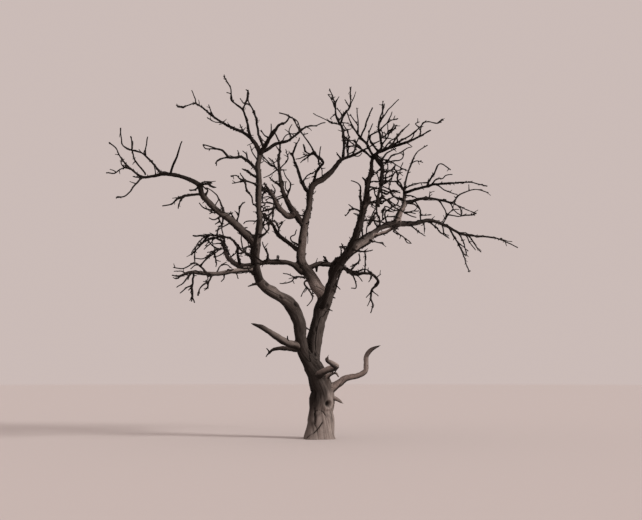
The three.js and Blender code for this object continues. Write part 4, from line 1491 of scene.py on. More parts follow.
@dataclass
class MeshStore:
    """One joined piece: its points, faces and point values, gathered tube by tube."""

    name: str
    slot: Slot
    nodes: list[str] = field(default_factory=list)
    spots: list[Array] = field(default_factory=list)
    grain: list[Array] = field(default_factory=list)
    cleft: list[Array] = field(default_factory=list)
    pale: list[Array] = field(default_factory=list)
    quads: list[Array] = field(default_factory=list)
    triangles: list[Array] = field(default_factory=list)
    count: int = 0

    def add_points(self, spots: Array, grain: Array, cleft: Array, pale: Array) -> int:
        """Adds points with their values.

        Args:
            spots: the points.
            grain: their coordinates along the grain.
            cleft: how much painted shade they get in clefts, cracks and knot pits.
            pale: their paleness, which holds painted light and shade.

        Returns:
            The number of the first.
        """
        first = self.count
        self.spots.append(spots.reshape(-1, 3))
        self.grain.append(grain.reshape(-1, 3))
        self.cleft.append(cleft.reshape(-1))
        self.pale.append(pale.reshape(-1))
        self.count += self.spots[-1].shape[0]
        return first

    def add_bands(self, rings: Array) -> None:
        """Adds the quads between the rings of a tube, or of many.

        Args:
            rings: the numbers of their points, with a row for each ring.
        """
        after = np.roll(rings, -1, axis=-1)
        corners = [rings[..., :-1, :], after[..., :-1, :], after[..., 1:, :], rings[..., 1:, :]]
        self.quads.append(np.stack(corners, -1).reshape(-1, 4))

    def add_steps(self, fine: Array, coarse: Array) -> None:
        """Joins a ring to one of half as many points.

        Each wide gap of the coarse ring meets two narrow ones of the fine ring in three triangles.

        Args:
            fine: the numbers of the one ring's points.
            coarse: the numbers of the other's.
        """
        left, middle, right = fine[0::2], fine[1::2], np.roll(fine[0::2], -1)
        after = np.roll(coarse, -1)
        for corners in ((left, middle, coarse), (coarse, middle, after), (middle, right, after)):
            self.triangles.append(np.stack(corners, -1))

    def add_fans(self, rings: Array, poles: Array, at_root: bool) -> None:
        """Closes tubes with a fan of triangles from each end ring to its pole.

        Args:
            rings: the numbers of the end rings' points.
            poles: the numbers of the poles.
            at_root: whether these are the root ends.
        """
        after = np.roll(rings, -1, axis=-1)
        first, second = (after, rings) if at_root else (rings, after)
        corners = [first, second, np.broadcast_to(poles, rings.shape)]
        self.triangles.append(np.stack(corners, -1).reshape(-1, 3))

    def faces(self) -> int:
        """How many triangles the piece has, with a quad counted as two."""
        return 2 * sum(len(q) for q in self.quads) + sum(len(t) for t in self.triangles)

    def build(self, material: bpy.types.Material) -> None:
        """Makes the mesh object, with smooth shading and its point values as attributes.

        Args:
            material: the piece's finish.
        """
        quads = np.concatenate(self.quads)
        triangles = np.concatenate(self.triangles)
        low = np.array(FRAME_BOX[0]) + BOX_SKIN * np.array([1, 1, 0])
        spots = np.clip(np.concatenate(self.spots), low, np.array(FRAME_BOX[1]) - BOX_SKIN)
        corners = np.concatenate([quads.ravel(), triangles.ravel()]).astype(np.int32)
        sizes = np.repeat([4, 3], [len(quads), len(triangles)])
        mesh = bpy.data.meshes.new(self.name)
        mesh.vertices.add(self.count)
        mesh.vertices.foreach_set("co", spots.astype(np.float32).ravel())
        mesh.loops.add(len(corners))
        mesh.loops.foreach_set("vertex_index", corners)
        mesh.polygons.add(len(sizes))
        mesh.polygons.foreach_set("loop_start", (np.cumsum(sizes) - sizes).astype(np.int32))
        mesh.polygons.foreach_set("use_smooth", np.ones(len(sizes), bool))
        for name, kind, values, key in (
            ("grain", "FLOAT_VECTOR", self.grain, "vector"),
            ("cleft", "FLOAT", self.cleft, "value"),
            ("pale", "FLOAT", self.pale, "value"),
        ):
            layer = mesh.attributes.new(name, kind, "POINT")
            layer.data.foreach_set(key, np.concatenate(values).astype(np.float32).ravel())
        mesh.update(calc_edges=True)
        mesh.validate()
        mesh.materials.append(material)
        piece = bpy.data.objects.new(self.name, mesh)
        bpy.context.scene.collection.objects.link(piece)
        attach(piece, "root")
        if self.nodes:
            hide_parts(*self.nodes)


def add_tube(store: MeshStore, stem: Stem, low: int, high: int) -> None:
    """Adds the rings from low to high of a stem to a piece, closed at both ends.

    Args:
        store: the piece.
        stem: the stem.
        low: its first ring in the piece.
        high: its last.
    """
    columns = stem.columns()
    changes = np.flatnonzero(np.diff(columns[low : high + 1])) + 1
    last_ring = None
    for rows in np.split(np.arange(low, high + 1), changes):
        count = int(columns[rows[0]])
        spots, grain, cleft, pale = stem.surface(rows, count)
        if stem.flare is not None:
            spots[..., 2] = np.maximum(spots[..., 2], 0.0)
            spots[rows == 0, :, 2] = 0.0
        first = store.add_points(spots, grain, cleft, pale)
        rings = first + np.arange(len(rows) * count).reshape(len(rows), count)
        store.add_bands(rings)
        if last_ring is None:
            pole = store.add_points(spots[0].mean(0), grain[0].mean(0), np.zeros(1), pale[0].mean())
            store.add_fans(rings[0], pole, at_root=True)
        else:
            store.add_steps(last_ring, rings[0])
        last_ring = rings[-1]
    pole = store.add_points(spots[-1].mean(0), grain[-1].mean(0), np.zeros(1), pale[-1].mean())
    store.add_fans(last_ring, pole, at_root=False)


@dataclass(frozen=True)
class SmallKnots:
    """Small knots all over the thicker wood, at random, one for each step along a limb.

    The foot of the trunk is left bare, as it has its own.  A knot's size is a share of the radius.
    """

    seed: int = 41
    step: float = 0.3
    first: float = 0.25
    last: float = 0.2
    shift: float = 0.1
    thinnest: float = 0.022
    bare_foot: float = 0.9
    sizes: Pair = (0.28, 0.5)
    hollows: Pair = (0.0, 0.7)
    stretch: float = 1.4

    def scatter(self, stem: Stem, rng: np.random.Generator) -> None:
        """Puts the knots on one limb.

        Args:
            stem: the limb.
            rng: draws their places and sizes.
        """
        ways = np.arange(self.first, stem.along[-1] - self.last, self.step)
        for way in ways + rng.uniform(-self.shift, self.shift, len(ways)):
            row = int(np.argmin(np.abs(stem.along - way)))
            radius, turn = stem.radii[row], rng.uniform(0, 2 * math.pi)
            size, hollow = radius * rng.uniform(*self.sizes), rng.uniform(*self.hollows)
            if radius < self.thinnest or (stem.flare is not None and way < self.bare_foot):
                continue
            out = math.cos(turn) * stem.across[row] + math.sin(turn) * stem.beside[row]
            knot = Knot(stem.nodes[0], 0.0, 0.0, size, hollow, self.stretch)
            stem.knots.append((stem.spots[row] + out * radius, stem.tangents[row], knot))


SMALL_KNOTS = SmallKnots()


class Tree:
    """The whole tree: its limbs, branchlets and twigs, and the joined pieces they go into.

    Low and high are the corners of the frame's box, moved in so that the wood's relief stays
    inside it.
    """

    def __init__(self) -> None:
        """Starts a tree with no wood, from the frame's record and box."""
        self.stems: list[Stem] = []
        self.owner: dict[str, Stem] = {}
        self.slots = {part["node"]: Slot(part["material_slot"]) for part in frame["record"]["subparts"]}
        self.stores: dict[str, MeshStore] = {}
        self.low = np.array(FRAME_BOX[0]) + BOX_MARGIN
        self.high = np.array(FRAME_BOX[1]) - BOX_MARGIN

    def read_limbs(self) -> None:
        """Makes a stem of each limb plan, in an order that has its bearer first."""
        for index, plan in enumerate(LIMBS):
            bearer = self.owner.get(plan.bearer)
            points, marks = self._frame_points(plan, bearer)
            flare = None if plan.bearer else Flare()
            if flare is not None:
                points[0, 2] = 0.0
                points[:, 3] /= flare.mean(points[:, 2])
            stout = points[0, 3] >= STOUT_ROOT
            marked = np.column_stack([points, np.arange(len(points))])
            line = smooth_curve(marked, STOUT_ROW if stout else SLIM_ROW)
            way = ways_along(line)
            ends = np.interp(marks, line[:, 4], way)
            line = wander(line[:, :4], LIMB_CROOK_SEED + index, *(STOUT_CROOKS if stout else SLIM_CROOKS))
            self._bend(line, way, plan, ends)
            line[:, 3] = np.maximum(line[:, 3] * np.linspace(*plan.swell, len(line)), THINNEST)
            stem = Stem(
                nodes=plan.nodes,
                line=line,
                side=plan.side,
                pale=self._shades(way, plan, ends),
                seed=index,
                end=plan.end,
                bearer=bearer,
                stretch=dict(zip(plan.nodes, zip(ends[:-1], ends[1:]))),
                flare=flare,
                fillet=plan.fillet,
                spurs=plan.spurs,
                painted_light_way=plan.painted_light_way,
            )
            self._add(stem)
            if bearer is not None:
                stem.joined.append(bearer)
                bearer.joined.append(stem)

    def _frame_points(self, plan: LimbPlan, bearer: Stem | None) -> tuple[Array, list[int]]:
        """A limb's points from the rings of its nodes, with its root on its bearer.

        Args:
            plan: the limb's plan.
            bearer: the stem that bears it, if any.

        Returns:
            The points with their radii, and the rows at which its nodes start and end.
        """
        rings = [frame_rings(node) for node in plan.nodes]
        points = [] if bearer is None else [self._root(bearer, *rings[0])]
        marks = [len(points)]
        for order, (centers, radii) in enumerate(rings):
            rows = np.column_stack([centers, radii])
            points.extend(rows if order == 0 else rows[1:])
            marks.append(len(points) - 1)
        return np.array(points), marks

    @staticmethod
    def _root(bearer: Stem, centers: Array, radii: Array) -> Array:
        """The start of a limb: the point of its bearer's middle line nearest its own line carried back.

        Args:
            bearer: the stem that bears it.
            centers: the limb's ring centres.
            radii: its ring radii.

        Returns:
            The point, with the limb's first radius swollen a little.
        """
        back = unit(centers[0] - centers[1])
        apart = bearer.spots - centers[0]
        ahead = apart @ back
        off = np.linalg.norm(apart - ahead[:, None] * back, axis=1)
        off = np.where((ahead > 0.0) & (ahead < ROOT_REACH), off + ROOT_PULL * ahead, np.inf)
        if not np.isfinite(off).any():
            off = np.linalg.norm(apart, axis=1)
        return np.append(bearer.spots[int(np.argmin(off))], radii[0] * ROOT_SWELL)

    @staticmethod
    def _bend(line: Array, way: Array, plan: LimbPlan, ends: Array) -> None:
        """Moves and thins a limb's line by its bends, each a bell curve along the line.

        Args:
            line: the rings, which are changed.
            way: the way along the line at each ring.
            plan: the limb's plan.
            ends: the ways at which its nodes start and end.
        """
        for bend in BENDS:
            if bend.node not in plan.nodes:
                continue
            order = plan.nodes.index(bend.node)
            place = ends[order] + bend.share * (ends[order + 1] - ends[order])
            weight = np.exp(-(((way - place) / bend.reach) ** 2))
            line[:, 0] += MM * bend.right * weight
            line[:, 2] += MM * bend.up * weight
            line[:, 3] *= 1.0 + (bend.thick - 1.0) * weight

    @staticmethod
    def _shades(way: Array, plan: LimbPlan, ends: Array) -> Array:
        """The paleness at each ring, from the even steps of each node's own.

        Args:
            way: the way along the line at each ring.
            plan: the limb's plan.
            ends: the ways at which its nodes start and end.

        Returns:
            The paleness of the flank that faces the painted light.
        """
        middles, shades = [], []
        for node, start, stop in zip(plan.nodes, ends[:-1], ends[1:]):
            shade = PALE_WOOD_AND_PAINTED_LIGHT.get(node, DARK_WOOD)
            middles.extend(start + (stop - start) * (np.arange(len(shade)) + 0.5) / len(shade))
            shades.extend(shade)
        return np.interp(way, middles, shades)

    def _add(self, stem: Stem) -> None:
        """Keeps a stem under the name of each of its nodes."""
        self.stems.append(stem)
        self.owner.update({node: stem for node in stem.nodes})

    def mark_wood(self) -> None:
        """Puts the knots, patches and cracks on the limbs that carry them."""
        for mark in KNOTS + PATCHES:
            stem = self.owner[mark.node]
            spot, radius, row = stem.point(mark.node, mark.share)
            grain, out = stem.tangents[row], facing_vector(mark.facing)
            out = unit(out - grain * (out @ grain))
            marks = stem.knots if isinstance(mark, Knot) else stem.patches
            marks.append((spot + out * radius, grain, mark))
        trunk = self.owner["trunk"]
        low_spots = trunk.spots[: len(trunk.spots) // 4]
        for path in CRACKS:
            points = []
            for height, facing in path:
                row = int(np.argmin(np.abs(low_spots[:, 2] - height)))
                share = float(trunk.flare.share(np.radians(facing), np.array(height)))
                points.append(trunk.spots[row] + facing_vector(facing) * trunk.radii[row] * share)
            trunk.cracks.append(np.array(points))
        rng = np.random.default_rng(SMALL_KNOTS.seed)
        for stem in self.stems:
            SMALL_KNOTS.scatter(stem, rng)

    def grow_sprigs(self) -> None:
        """Grows the planned branchlets, each from the middle line of the stem that bears it."""
        for index, plan in enumerate(SPRIGS):
            bearer = self.owner[plan.bearer]
            spots, bearer_radius, row = plan.course(bearer)
            radius = MM * plan.radius * SPRIG_SWELL
            tip = MM * plan.tip if plan.tip else min(SPRIG_TIP, TIP_SHARE * radius)
            table = np.column_stack([spots, np.linspace(radius, tip, len(spots))])
            line = wander(smooth_curve(table, SPRIG_ROW), SPRIG_CROOK_SEED + index, *SPRIG_CROOKS)
            hidden = np.maximum(ways_along(line) - bearer_radius, 0.0)
            line[:, 3] *= 1.0 + LEAVE_SWELL * np.exp(-hidden / (LEAVE_RADII * radius))
            line[:, :3] = np.clip(line[:, :3], self.low, self.high)
            pale = PALE_AND_PAINTED_LIGHT.sprig * bearer.pale[row] if plan.pale is None else plan.pale
            stem = Stem(
                nodes=(plan.name or f"sprig_{index}",),
                line=line,
                side=bearer.side,
                pale=np.full(len(line), pale),
                seed=SPRIG_RELIEF_SEED + index,
                bearer=bearer,
                spurs=bearer.spurs,
                painted_light_way=TOP,
            )
            self._add(stem)

    def store(self, name: str, slot: Slot) -> MeshStore:
        """The joined piece of that name, made when it is first asked for."""
        return self.stores.setdefault(name, MeshStore(name, slot))

    def mesh_limbs(self) -> None:
        """Meshes every limb, cut at its nodes so that each node's wood is in a piece of its slot."""
        for stem in self.stems:
            cuts = [int(np.argmin(np.abs(stem.along - stem.stretch[node][1]))) for node in stem.nodes]
            edges = [0, *cuts[:-1], len(stem.spots) - 1]
            for node, low, high in zip(stem.nodes, edges[:-1], edges[1:]):
                add_tube(self._store_of(stem, node), stem, low, high)

    def _store_of(self, stem: Stem, node: str) -> MeshStore:
        """The piece that takes a node's wood, or a branchlet's: a stout one is bough wood.

        Args:
            stem: the limb or branchlet.
            node: its node.

        Returns:
            The joined piece.
        """
        if node in self.slots:
            slot = self.slots[node]
            side = Side.FOOT if slot is Slot.TRUNK else stem.side
            store = self.store(f"{side.value}_{slot.value}", slot)
            store.nodes.append(node)
            return store
        if stem.radii[0] > STOUT_SPRIG:
            return self.store(f"{stem.side.value}_{Slot.BOUGH.value}", Slot.BOUGH)
        return self.store(f"{stem.side.value}_branchlets", Slot.TWIG)

    def build(self, finishes: dict[Slot, "WoodFinish"]) -> None:
        """Makes the objects of all the joined pieces, in the order of their first limb.

        Args:
            finishes: the finish of each slot.
        """
        materials = {slot: finish.build() for slot, finish in finishes.items()}
        for store in self.stores.values():
            store.build(materials[store.slot])
            LOG.info("%s: %d triangles, %d nodes", store.name, store.faces(), len(store.nodes))


@dataclass
class Sight:
    """Where wood shows from the camera, on the upright picture plane through the trunk's foot.

    A point is seen at x * D / (D + y) and at the eye's height plus (z - eye) * D / (D + y), with D
    the camera's distance.  The plane is cut into cells, and each cell keeps its gap to the nearest
    limb's outline, and that limb's y.  Twigs grow only where that gap is small, so the sky stays
    open elsewhere, and where they would cross the face of a stout limb they grow only behind it.
    """

    stems: list[Stem]
    cell: float = 0.02
    face: float = 0.022
    low: Pair = (-3.2, 0.0)
    cells: tuple[int, int] = (330, 290)
    parts: int = 60

    def __post_init__(self) -> None:
        """Works out the gap of each cell to the nearest ring seen on the plane."""
        rings = np.concatenate([stem.line[::2] for stem in self.stems])
        across, up = self._seen(rings[:, :3])
        x = self.low[0] + self.cell * np.arange(self.cells[0])
        z = self.low[1] + self.cell * np.arange(self.cells[1])
        self.gap = np.full(self.cells, 9.0, np.float32)
        self.wood_y = np.zeros(self.cells, np.float32)
        for part in np.array_split(np.arange(len(rings)), self.parts):
            square = (x[:, None, None] - across[part]) ** 2 + (z[None, :, None] - up[part]) ** 2
            gap = (np.sqrt(square) - rings[part, 3]).astype(np.float32)
            best = gap.argmin(2)
            gap = np.take_along_axis(gap, best[..., None], 2)[..., 0]
            self.wood_y = np.where(gap < self.gap, rings[part[best], 1], self.wood_y)
            self.gap = np.minimum(self.gap, gap)

    def _seen(self, spots: Array) -> tuple[Array, Array]:
        """Where points are seen on the picture plane."""
        scale = CAMERA_AWAY / (CAMERA_AWAY + spots[..., 1])
        return spots[..., 0] * scale, CAMERA_HEIGHT + (spots[..., 2] - CAMERA_HEIGHT) * scale

    def fits(self, spots: Array, reach: float) -> Array:
        """Whether points are seen within reach of wood, and not across the face of a stout limb.

        Args:
            spots: the points.
            reach: how far off the wood they may be seen.

        Returns:
            True for each point that fits.
        """
        across, up = self._seen(spots)
        column = np.clip(((across - self.low[0]) / self.cell).round().astype(int), 0, self.cells[0] - 1)
        row = np.clip(((up - self.low[1]) / self.cell).round().astype(int), 0, self.cells[1] - 1)
        gap = self.gap[column, row]
        return (gap < reach) & ((gap > -self.face) | (spots[..., 1] > self.wood_y[column, row]))


@dataclass(frozen=True)
class Growth:
    """One kind of twig: how close together, how long and thick, and how it turns.

    Lengths are the shortest and the longest, and radii the root's and the tip's.  Spacing is the
    way between two along a stem, and thickest the radius from which a stem bears none.  Depth is
    how strongly the first direction is drawn to the front or the rear, and reach how far from
    other wood it may be seen.  The next kind grows from the joints named by forks, with a chance.
    """

    lengths: Pair
    radii: Pair
    joints: int
    reach: float
    bend: float
    depth: float = 0.0
    spacing: float = 0.0
    thickest: float = 0.0
    forks: tuple[int, ...] = ()
    chance: float = 0.5


SPURS = Growth((0.02, 0.08), (0.0075, 0.0045), 2, reach=0.08, bend=0.15, spacing=0.36, thickest=0.09)
SIDE_TWIGS = Growth(
    (0.14, 0.46), (0.0095, 0.0055), 6, reach=0.004, bend=0.16, depth=6.0,
    spacing=0.17, thickest=0.07, forks=(2, 3, 4),
)
DEEP_TWIGS = Growth(
    (0.3, 0.75), (0.0135, 0.0065), 8, reach=0.008, bend=0.2, depth=1.0,
    spacing=0.09, thickest=0.2, forks=(2, 3, 4, 5, 6), chance=0.8,
)
FORKED_TWIGS = Growth((0.1, 0.3), (0.0085, 0.005), 5, reach=0.006, bend=0.2, depth=2.0, forks=(1, 3))
END_TWIGS = Growth((0.03, 0.11), (0.0065, 0.004), 3, reach=0.012, bend=0.2, depth=1.0)


@dataclass
class Sites:
    """Where twigs start: points on wood, its direction and radius there, and its part of the tree."""

    spots: Array
    heads: Array
    radii: Array
    sides: Array


@dataclass
class Twigs:
    """Twigs of one kind: the joints of each, the radius at each joint, and the part of the tree."""

    spots: Array
    radii: Array
    sides: Array


@dataclass
class TwigRule:
    """The seeded rule by which fine twigs grow from limbs, branchlets and other twigs.

    A twig leaves its bearer at an angle and goes on from joint to joint, a little bent each time.
    Of some random directions at each joint it takes the first that stays inside the frame's box
    and near other wood as the camera sees it, and where there is none the twig ends.

    A stem bears none where its bearer hides its root, which is bare_radii of its own radii and
    bare_root more, nor near its tip.  Slimmer is the most that a twig's radius may be of its
    bearer's, and aslant a direction that twigs hardly take, from which cross axes are worked out.
    """

    tree: Tree
    seed: int = 77
    around: int = 6
    tries: int = 10
    spread: Pair = (35, 75)
    flatten: Triple = (1.0, 0.6, 1.0)
    bare_foot: float = 1.0
    bare_root: float = 0.02
    bare_radii: float = 1.2
    bare_tip: float = 0.015
    least_tip: float = 0.01
    shift: float = 0.9
    thickest_draw: Pair = (0.5, 1.0)
    radius_draw: Pair = (0.8, 1.1)
    slimmer: float = 0.85
    root_swell: float = 1.3
    cap: float = 0.9
    aslant: Triple = (0.31, -0.42, 0.85)
    grain_scale: float = 0.6
    pale: float = 0.05

    def __post_init__(self) -> None:
        """Starts the random numbers and the map of where wood is seen."""
        self.rng = np.random.default_rng(self.seed)
        self.sight = Sight([stem for stem in self.tree.stems if stem.nodes[0] not in DEEP_LIMBS])

    def on_stems(self, growth: Growth, stems: list[Stem]) -> Twigs:
        """Twigs of one kind at even steps along stems, each shifted at random.

        Args:
            growth: the kind of twig.
            stems: the stems that bear them.

        Returns:
            The twigs that found room.
        """
        rows, sides = [], []
        for stem in stems:
            hidden = self.bare_foot if stem.bearer is None else self.bare_radii * stem.radii[0]
            ways = np.arange(self.bare_root + hidden, stem.along[-1] - self.bare_tip, growth.spacing)
            ways = ways + self.rng.uniform(0.0, self.shift, len(ways)) * growth.spacing
            ways = ways[ways < stem.along[-1] - self.least_tip]
            found = read_off(np.column_stack([stem.spots, stem.tangents, stem.radii]), stem.along, ways)
            keep = found[:, 6] < growth.thickest * self.rng.uniform(*self.thickest_draw, len(ways))
            rows.append(found[keep])
            sides += [stem.side.value] * int(keep.sum())
        table = np.concatenate(rows)
        return self.grow(growth, Sites(table[:, :3], unit(table[:, 3:6]), table[:, 6], np.array(sides)))

    def grow(self, growth: Growth, site: Sites) -> Twigs:
        """The middle lines of twigs of one kind, one for each site.

        The first direction is the bearer's own, turned away by some degrees to a random side
        and drawn to the front or the rear.  Each next one adds a random vector.

        Args:
            growth: the kind of twig.
            site: where they start.

        Returns:
            The twigs that found room.
        """
        rng, count = self.rng, len(site.spots)
        aside = unit(np.cross(site.heads, rng.normal(size=(count, 3))))
        aside[:, 1] *= 1.0 + growth.depth
        spread = np.radians(rng.uniform(*self.spread, count))[:, None]
        head = unit(np.cos(spread) * site.heads * self.flatten + np.sin(spread) * unit(aside))
        step = (rng.uniform(*growth.lengths, count) / growth.joints)[:, None]
        spots, alive, grown = [site.spots], np.ones(count, bool), np.zeros(count)
        for joint in range(growth.joints):
            bend = growth.bend * (1.0 + np.arange(self.tries) / self.tries)[None, :, None]
            heads = unit(head[:, None] + bend * rng.normal(size=(count, self.tries, 3)))
            lengths = step[:, None] + (self.root_swell * site.radii[:, None, None] if joint == 0 else 0.0)
            ahead = spots[-1][:, None] + lengths * heads
            fits = ((ahead > self.tree.low) & (ahead < self.tree.high)).all(2)
            fits &= self.sight.fits(ahead, growth.reach)
            fits &= self.sight.fits(ahead - 0.5 * step[:, None] * heads, growth.reach)
            choice, pick = np.argmax(fits, axis=1), np.arange(count)
            alive &= fits.any(1)
            grown += alive
            head = np.where(alive[:, None], heads[pick, choice], head)
            spots.append(np.where(alive[:, None], ahead[pick, choice], spots[-1]))
        kept = grown >= max(1, growth.joints // 2)
        line = self._evened(np.stack(spots, 1)[kept], grown[kept], growth.joints)
        root = growth.radii[0] * rng.uniform(*self.radius_draw, len(line))
        root = np.minimum(root, self.slimmer * site.radii[kept])
        tip = np.minimum(growth.radii[1], TIP_SHARE * root)
        radii = root[:, None] + (tip - root)[:, None] * np.linspace(0, 1, growth.joints + 1)[None]
        radii[:, 0] *= self.root_swell
        return Twigs(line, radii, site.sides[kept])

    @staticmethod
    def _evened(line: Array, grown: Array, joints: int) -> Array:
        """The joints of twigs spread evenly over what each has grown.

        Args:
            line: the joints, one row of them for each twig.
            grown: how many steps each twig has grown.
            joints: how many steps the kind has.

        Returns:
            As many joints again.
        """
        way = grown[:, None] * np.linspace(0, 1, joints + 1)[None]
        low = np.clip(np.floor(way).astype(int), 0, joints - 1)
        pick = np.arange(len(line))[:, None]
        share = (way - low)[..., None]
        return line[pick, low] * (1 - share) + line[pick, low + 1] * share

    def on_twigs(self, growth: Growth, twigs: Twigs, last: Growth) -> Twigs:
        """Twigs of one kind at some joints of twigs of the last kind.

        Args:
            growth: the kind of twig.
            twigs: the twigs that bear them.
            last: the kind of those.

        Returns:
            The twigs that found room.
        """
        rows, sides = [], []
        for joint in last.forks:
            chosen = self.rng.uniform(0, 1, len(twigs.spots)) < last.chance
            spots = twigs.spots[chosen]
            heads = unit(spots[:, joint + 1] - spots[:, joint])
            rows.append(np.column_stack([spots[:, joint], heads, twigs.radii[chosen][:, joint]]))
            sides.append(twigs.sides[chosen])
        table = np.concatenate(rows)
        return self.grow(growth, Sites(table[:, :3], table[:, 3:6], table[:, 6], np.concatenate(sides)))

    def mesh(self, twigs: Twigs) -> None:
        """Adds twigs to the pieces of their parts of the tree.

        A twig's surface is its joints plus the radius times cos of the angle along one cross axis
        and sin along the other, with both axes square to the twig at each joint.

        Args:
            twigs: twigs of one kind.
        """
        for side in sorted(set(twigs.sides)):
            chosen = twigs.sides == side
            joints, radii = twigs.spots[chosen], twigs.radii[chosen]
            heads = unit(np.gradient(joints, axis=1))
            across = unit(np.cross(heads, np.array(self.aslant)))
            beside = np.cross(heads, across)
            angle = (2 * math.pi * np.arange(self.around) / self.around)[None, None, :, None]
            out = np.cos(angle) * across[:, :, None] + np.sin(angle) * beside[:, :, None]
            spots = joints[:, :, None] + radii[..., None, None] * out
            store = self.tree.store(f"{side}_twigs", Slot.TWIG)
            none = np.zeros(spots.shape[:3])
            first = store.add_points(spots, spots * self.grain_scale, none, none + self.pale)
            rings = first + np.arange(none.size).reshape(none.shape)
            store.add_bands(rings)
            for row, sign in ((0, -1.0), (-1, 1.0)):
                middle = joints[:, row] + sign * heads[:, row] * radii[:, row, None] * self.cap
                flat = np.zeros(len(joints))
                first = store.add_points(middle, middle * self.grain_scale, flat, flat)
                store.add_fans(rings[:, row], first + np.arange(len(joints))[:, None], at_root=row == 0)

    def run(self) -> int:
        """Grows every kind of twig.

        Returns:
            How many twigs there are.
        """
        bearing = [stem for stem in self.tree.stems if stem.spurs]
        deep = [stem for stem in bearing if stem.nodes[0] in DEEP_LIMBS]
        long_twigs = self.on_stems(DEEP_TWIGS, deep)
        sides = self.on_stems(SIDE_TWIGS, bearing)
        bearers = (long_twigs, DEEP_TWIGS), (sides, SIDE_TWIGS)
        forked = [self.on_twigs(FORKED_TWIGS, twigs, growth) for twigs, growth in bearers]
        ends = [self.on_twigs(END_TWIGS, twigs, FORKED_TWIGS) for twigs in forked]
        kinds = [long_twigs, sides, *forked, *ends, self.on_stems(SPURS, bearing)]
        for twigs in kinds:
            self.mesh(twigs)
        LOG.info("twigs of each kind: %s", [len(twigs.spots) for twigs in kinds])
        return sum(len(twigs.spots) for twigs in kinds)


class Board:
    """The node board of a new material, with a method for each kind of node that wood uses."""

    def __init__(self, name: str) -> None:
        """Makes the material and clears its board.

        Args:
            name: the material's name.
        """
        self.material = bpy.data.materials.new(name)
        self.material.use_nodes = True
        self.nodes, self.links = self.material.node_tree.nodes, self.material.node_tree.links
        self.nodes.clear()

    def attribute(self, name: str, output: str = "Fac") -> Socket:
        """One of the piece's point values.

        Args:
            name: the attribute.
            output: the node's output that has its kind.

        Returns:
            That output.
        """
        node = self.nodes.new("ShaderNodeAttribute")
        node.attribute_name = name
        return node.outputs[output]

    def noise(self, vector: Socket, scale: float, detail: float, roughness: float, warp: float) -> Socket:
        """Noise in the given coordinates, from 0 to 1.

        Args:
            vector: the coordinates.
            scale: cells in a unit of them.
            detail: how many finer layers it has.
            roughness: how strong those are.
            warp: how far it is distorted.

        Returns:
            The noise.
        """
        node = self.nodes.new("ShaderNodeTexNoise")
        values = {"Scale": scale, "Detail": detail, "Roughness": roughness, "Distortion": warp}
        for key, value in values.items():
            node.inputs[key].default_value = value
        self.links.new(vector, node.inputs["Vector"])
        return node.outputs["Fac"]

    def math(self, operation: str, *values: Socket | float) -> Socket:
        """One sum of sockets and numbers.

        Args:
            operation: the sum, as the node names it.
            values: the sockets and numbers.

        Returns:
            The result.
        """
        node = self.nodes.new("ShaderNodeMath")
        node.operation = operation
        for socket, value in zip(node.inputs, values):
            if isinstance(value, float):
                socket.default_value = value
            else:
                self.links.new(value, socket)
        return node.outputs[0]

    def mix(self, share: Socket, low: Socket | Triple, high: Socket | Triple) -> Socket:
        """A colour between two, each a socket or three numbers.

        Args:
            share: how much there is of the second.
            low: the first.
            high: the second.

        Returns:
            The colour.
        """
        node = self.nodes.new("ShaderNodeMix")
        node.data_type = "RGBA"
        node.clamp_factor = True
        self.links.new(share, node.inputs["Factor"])
        for key, value in (("A", low), ("B", high)):
            socket = next(s for s in node.inputs if s.name == key and s.type == "RGBA")
            if isinstance(value, tuple):
                socket.default_value = (*value, 1.0)
            else:
                self.links.new(value, socket)
        return next(s for s in node.outputs if s.type == "RGBA")


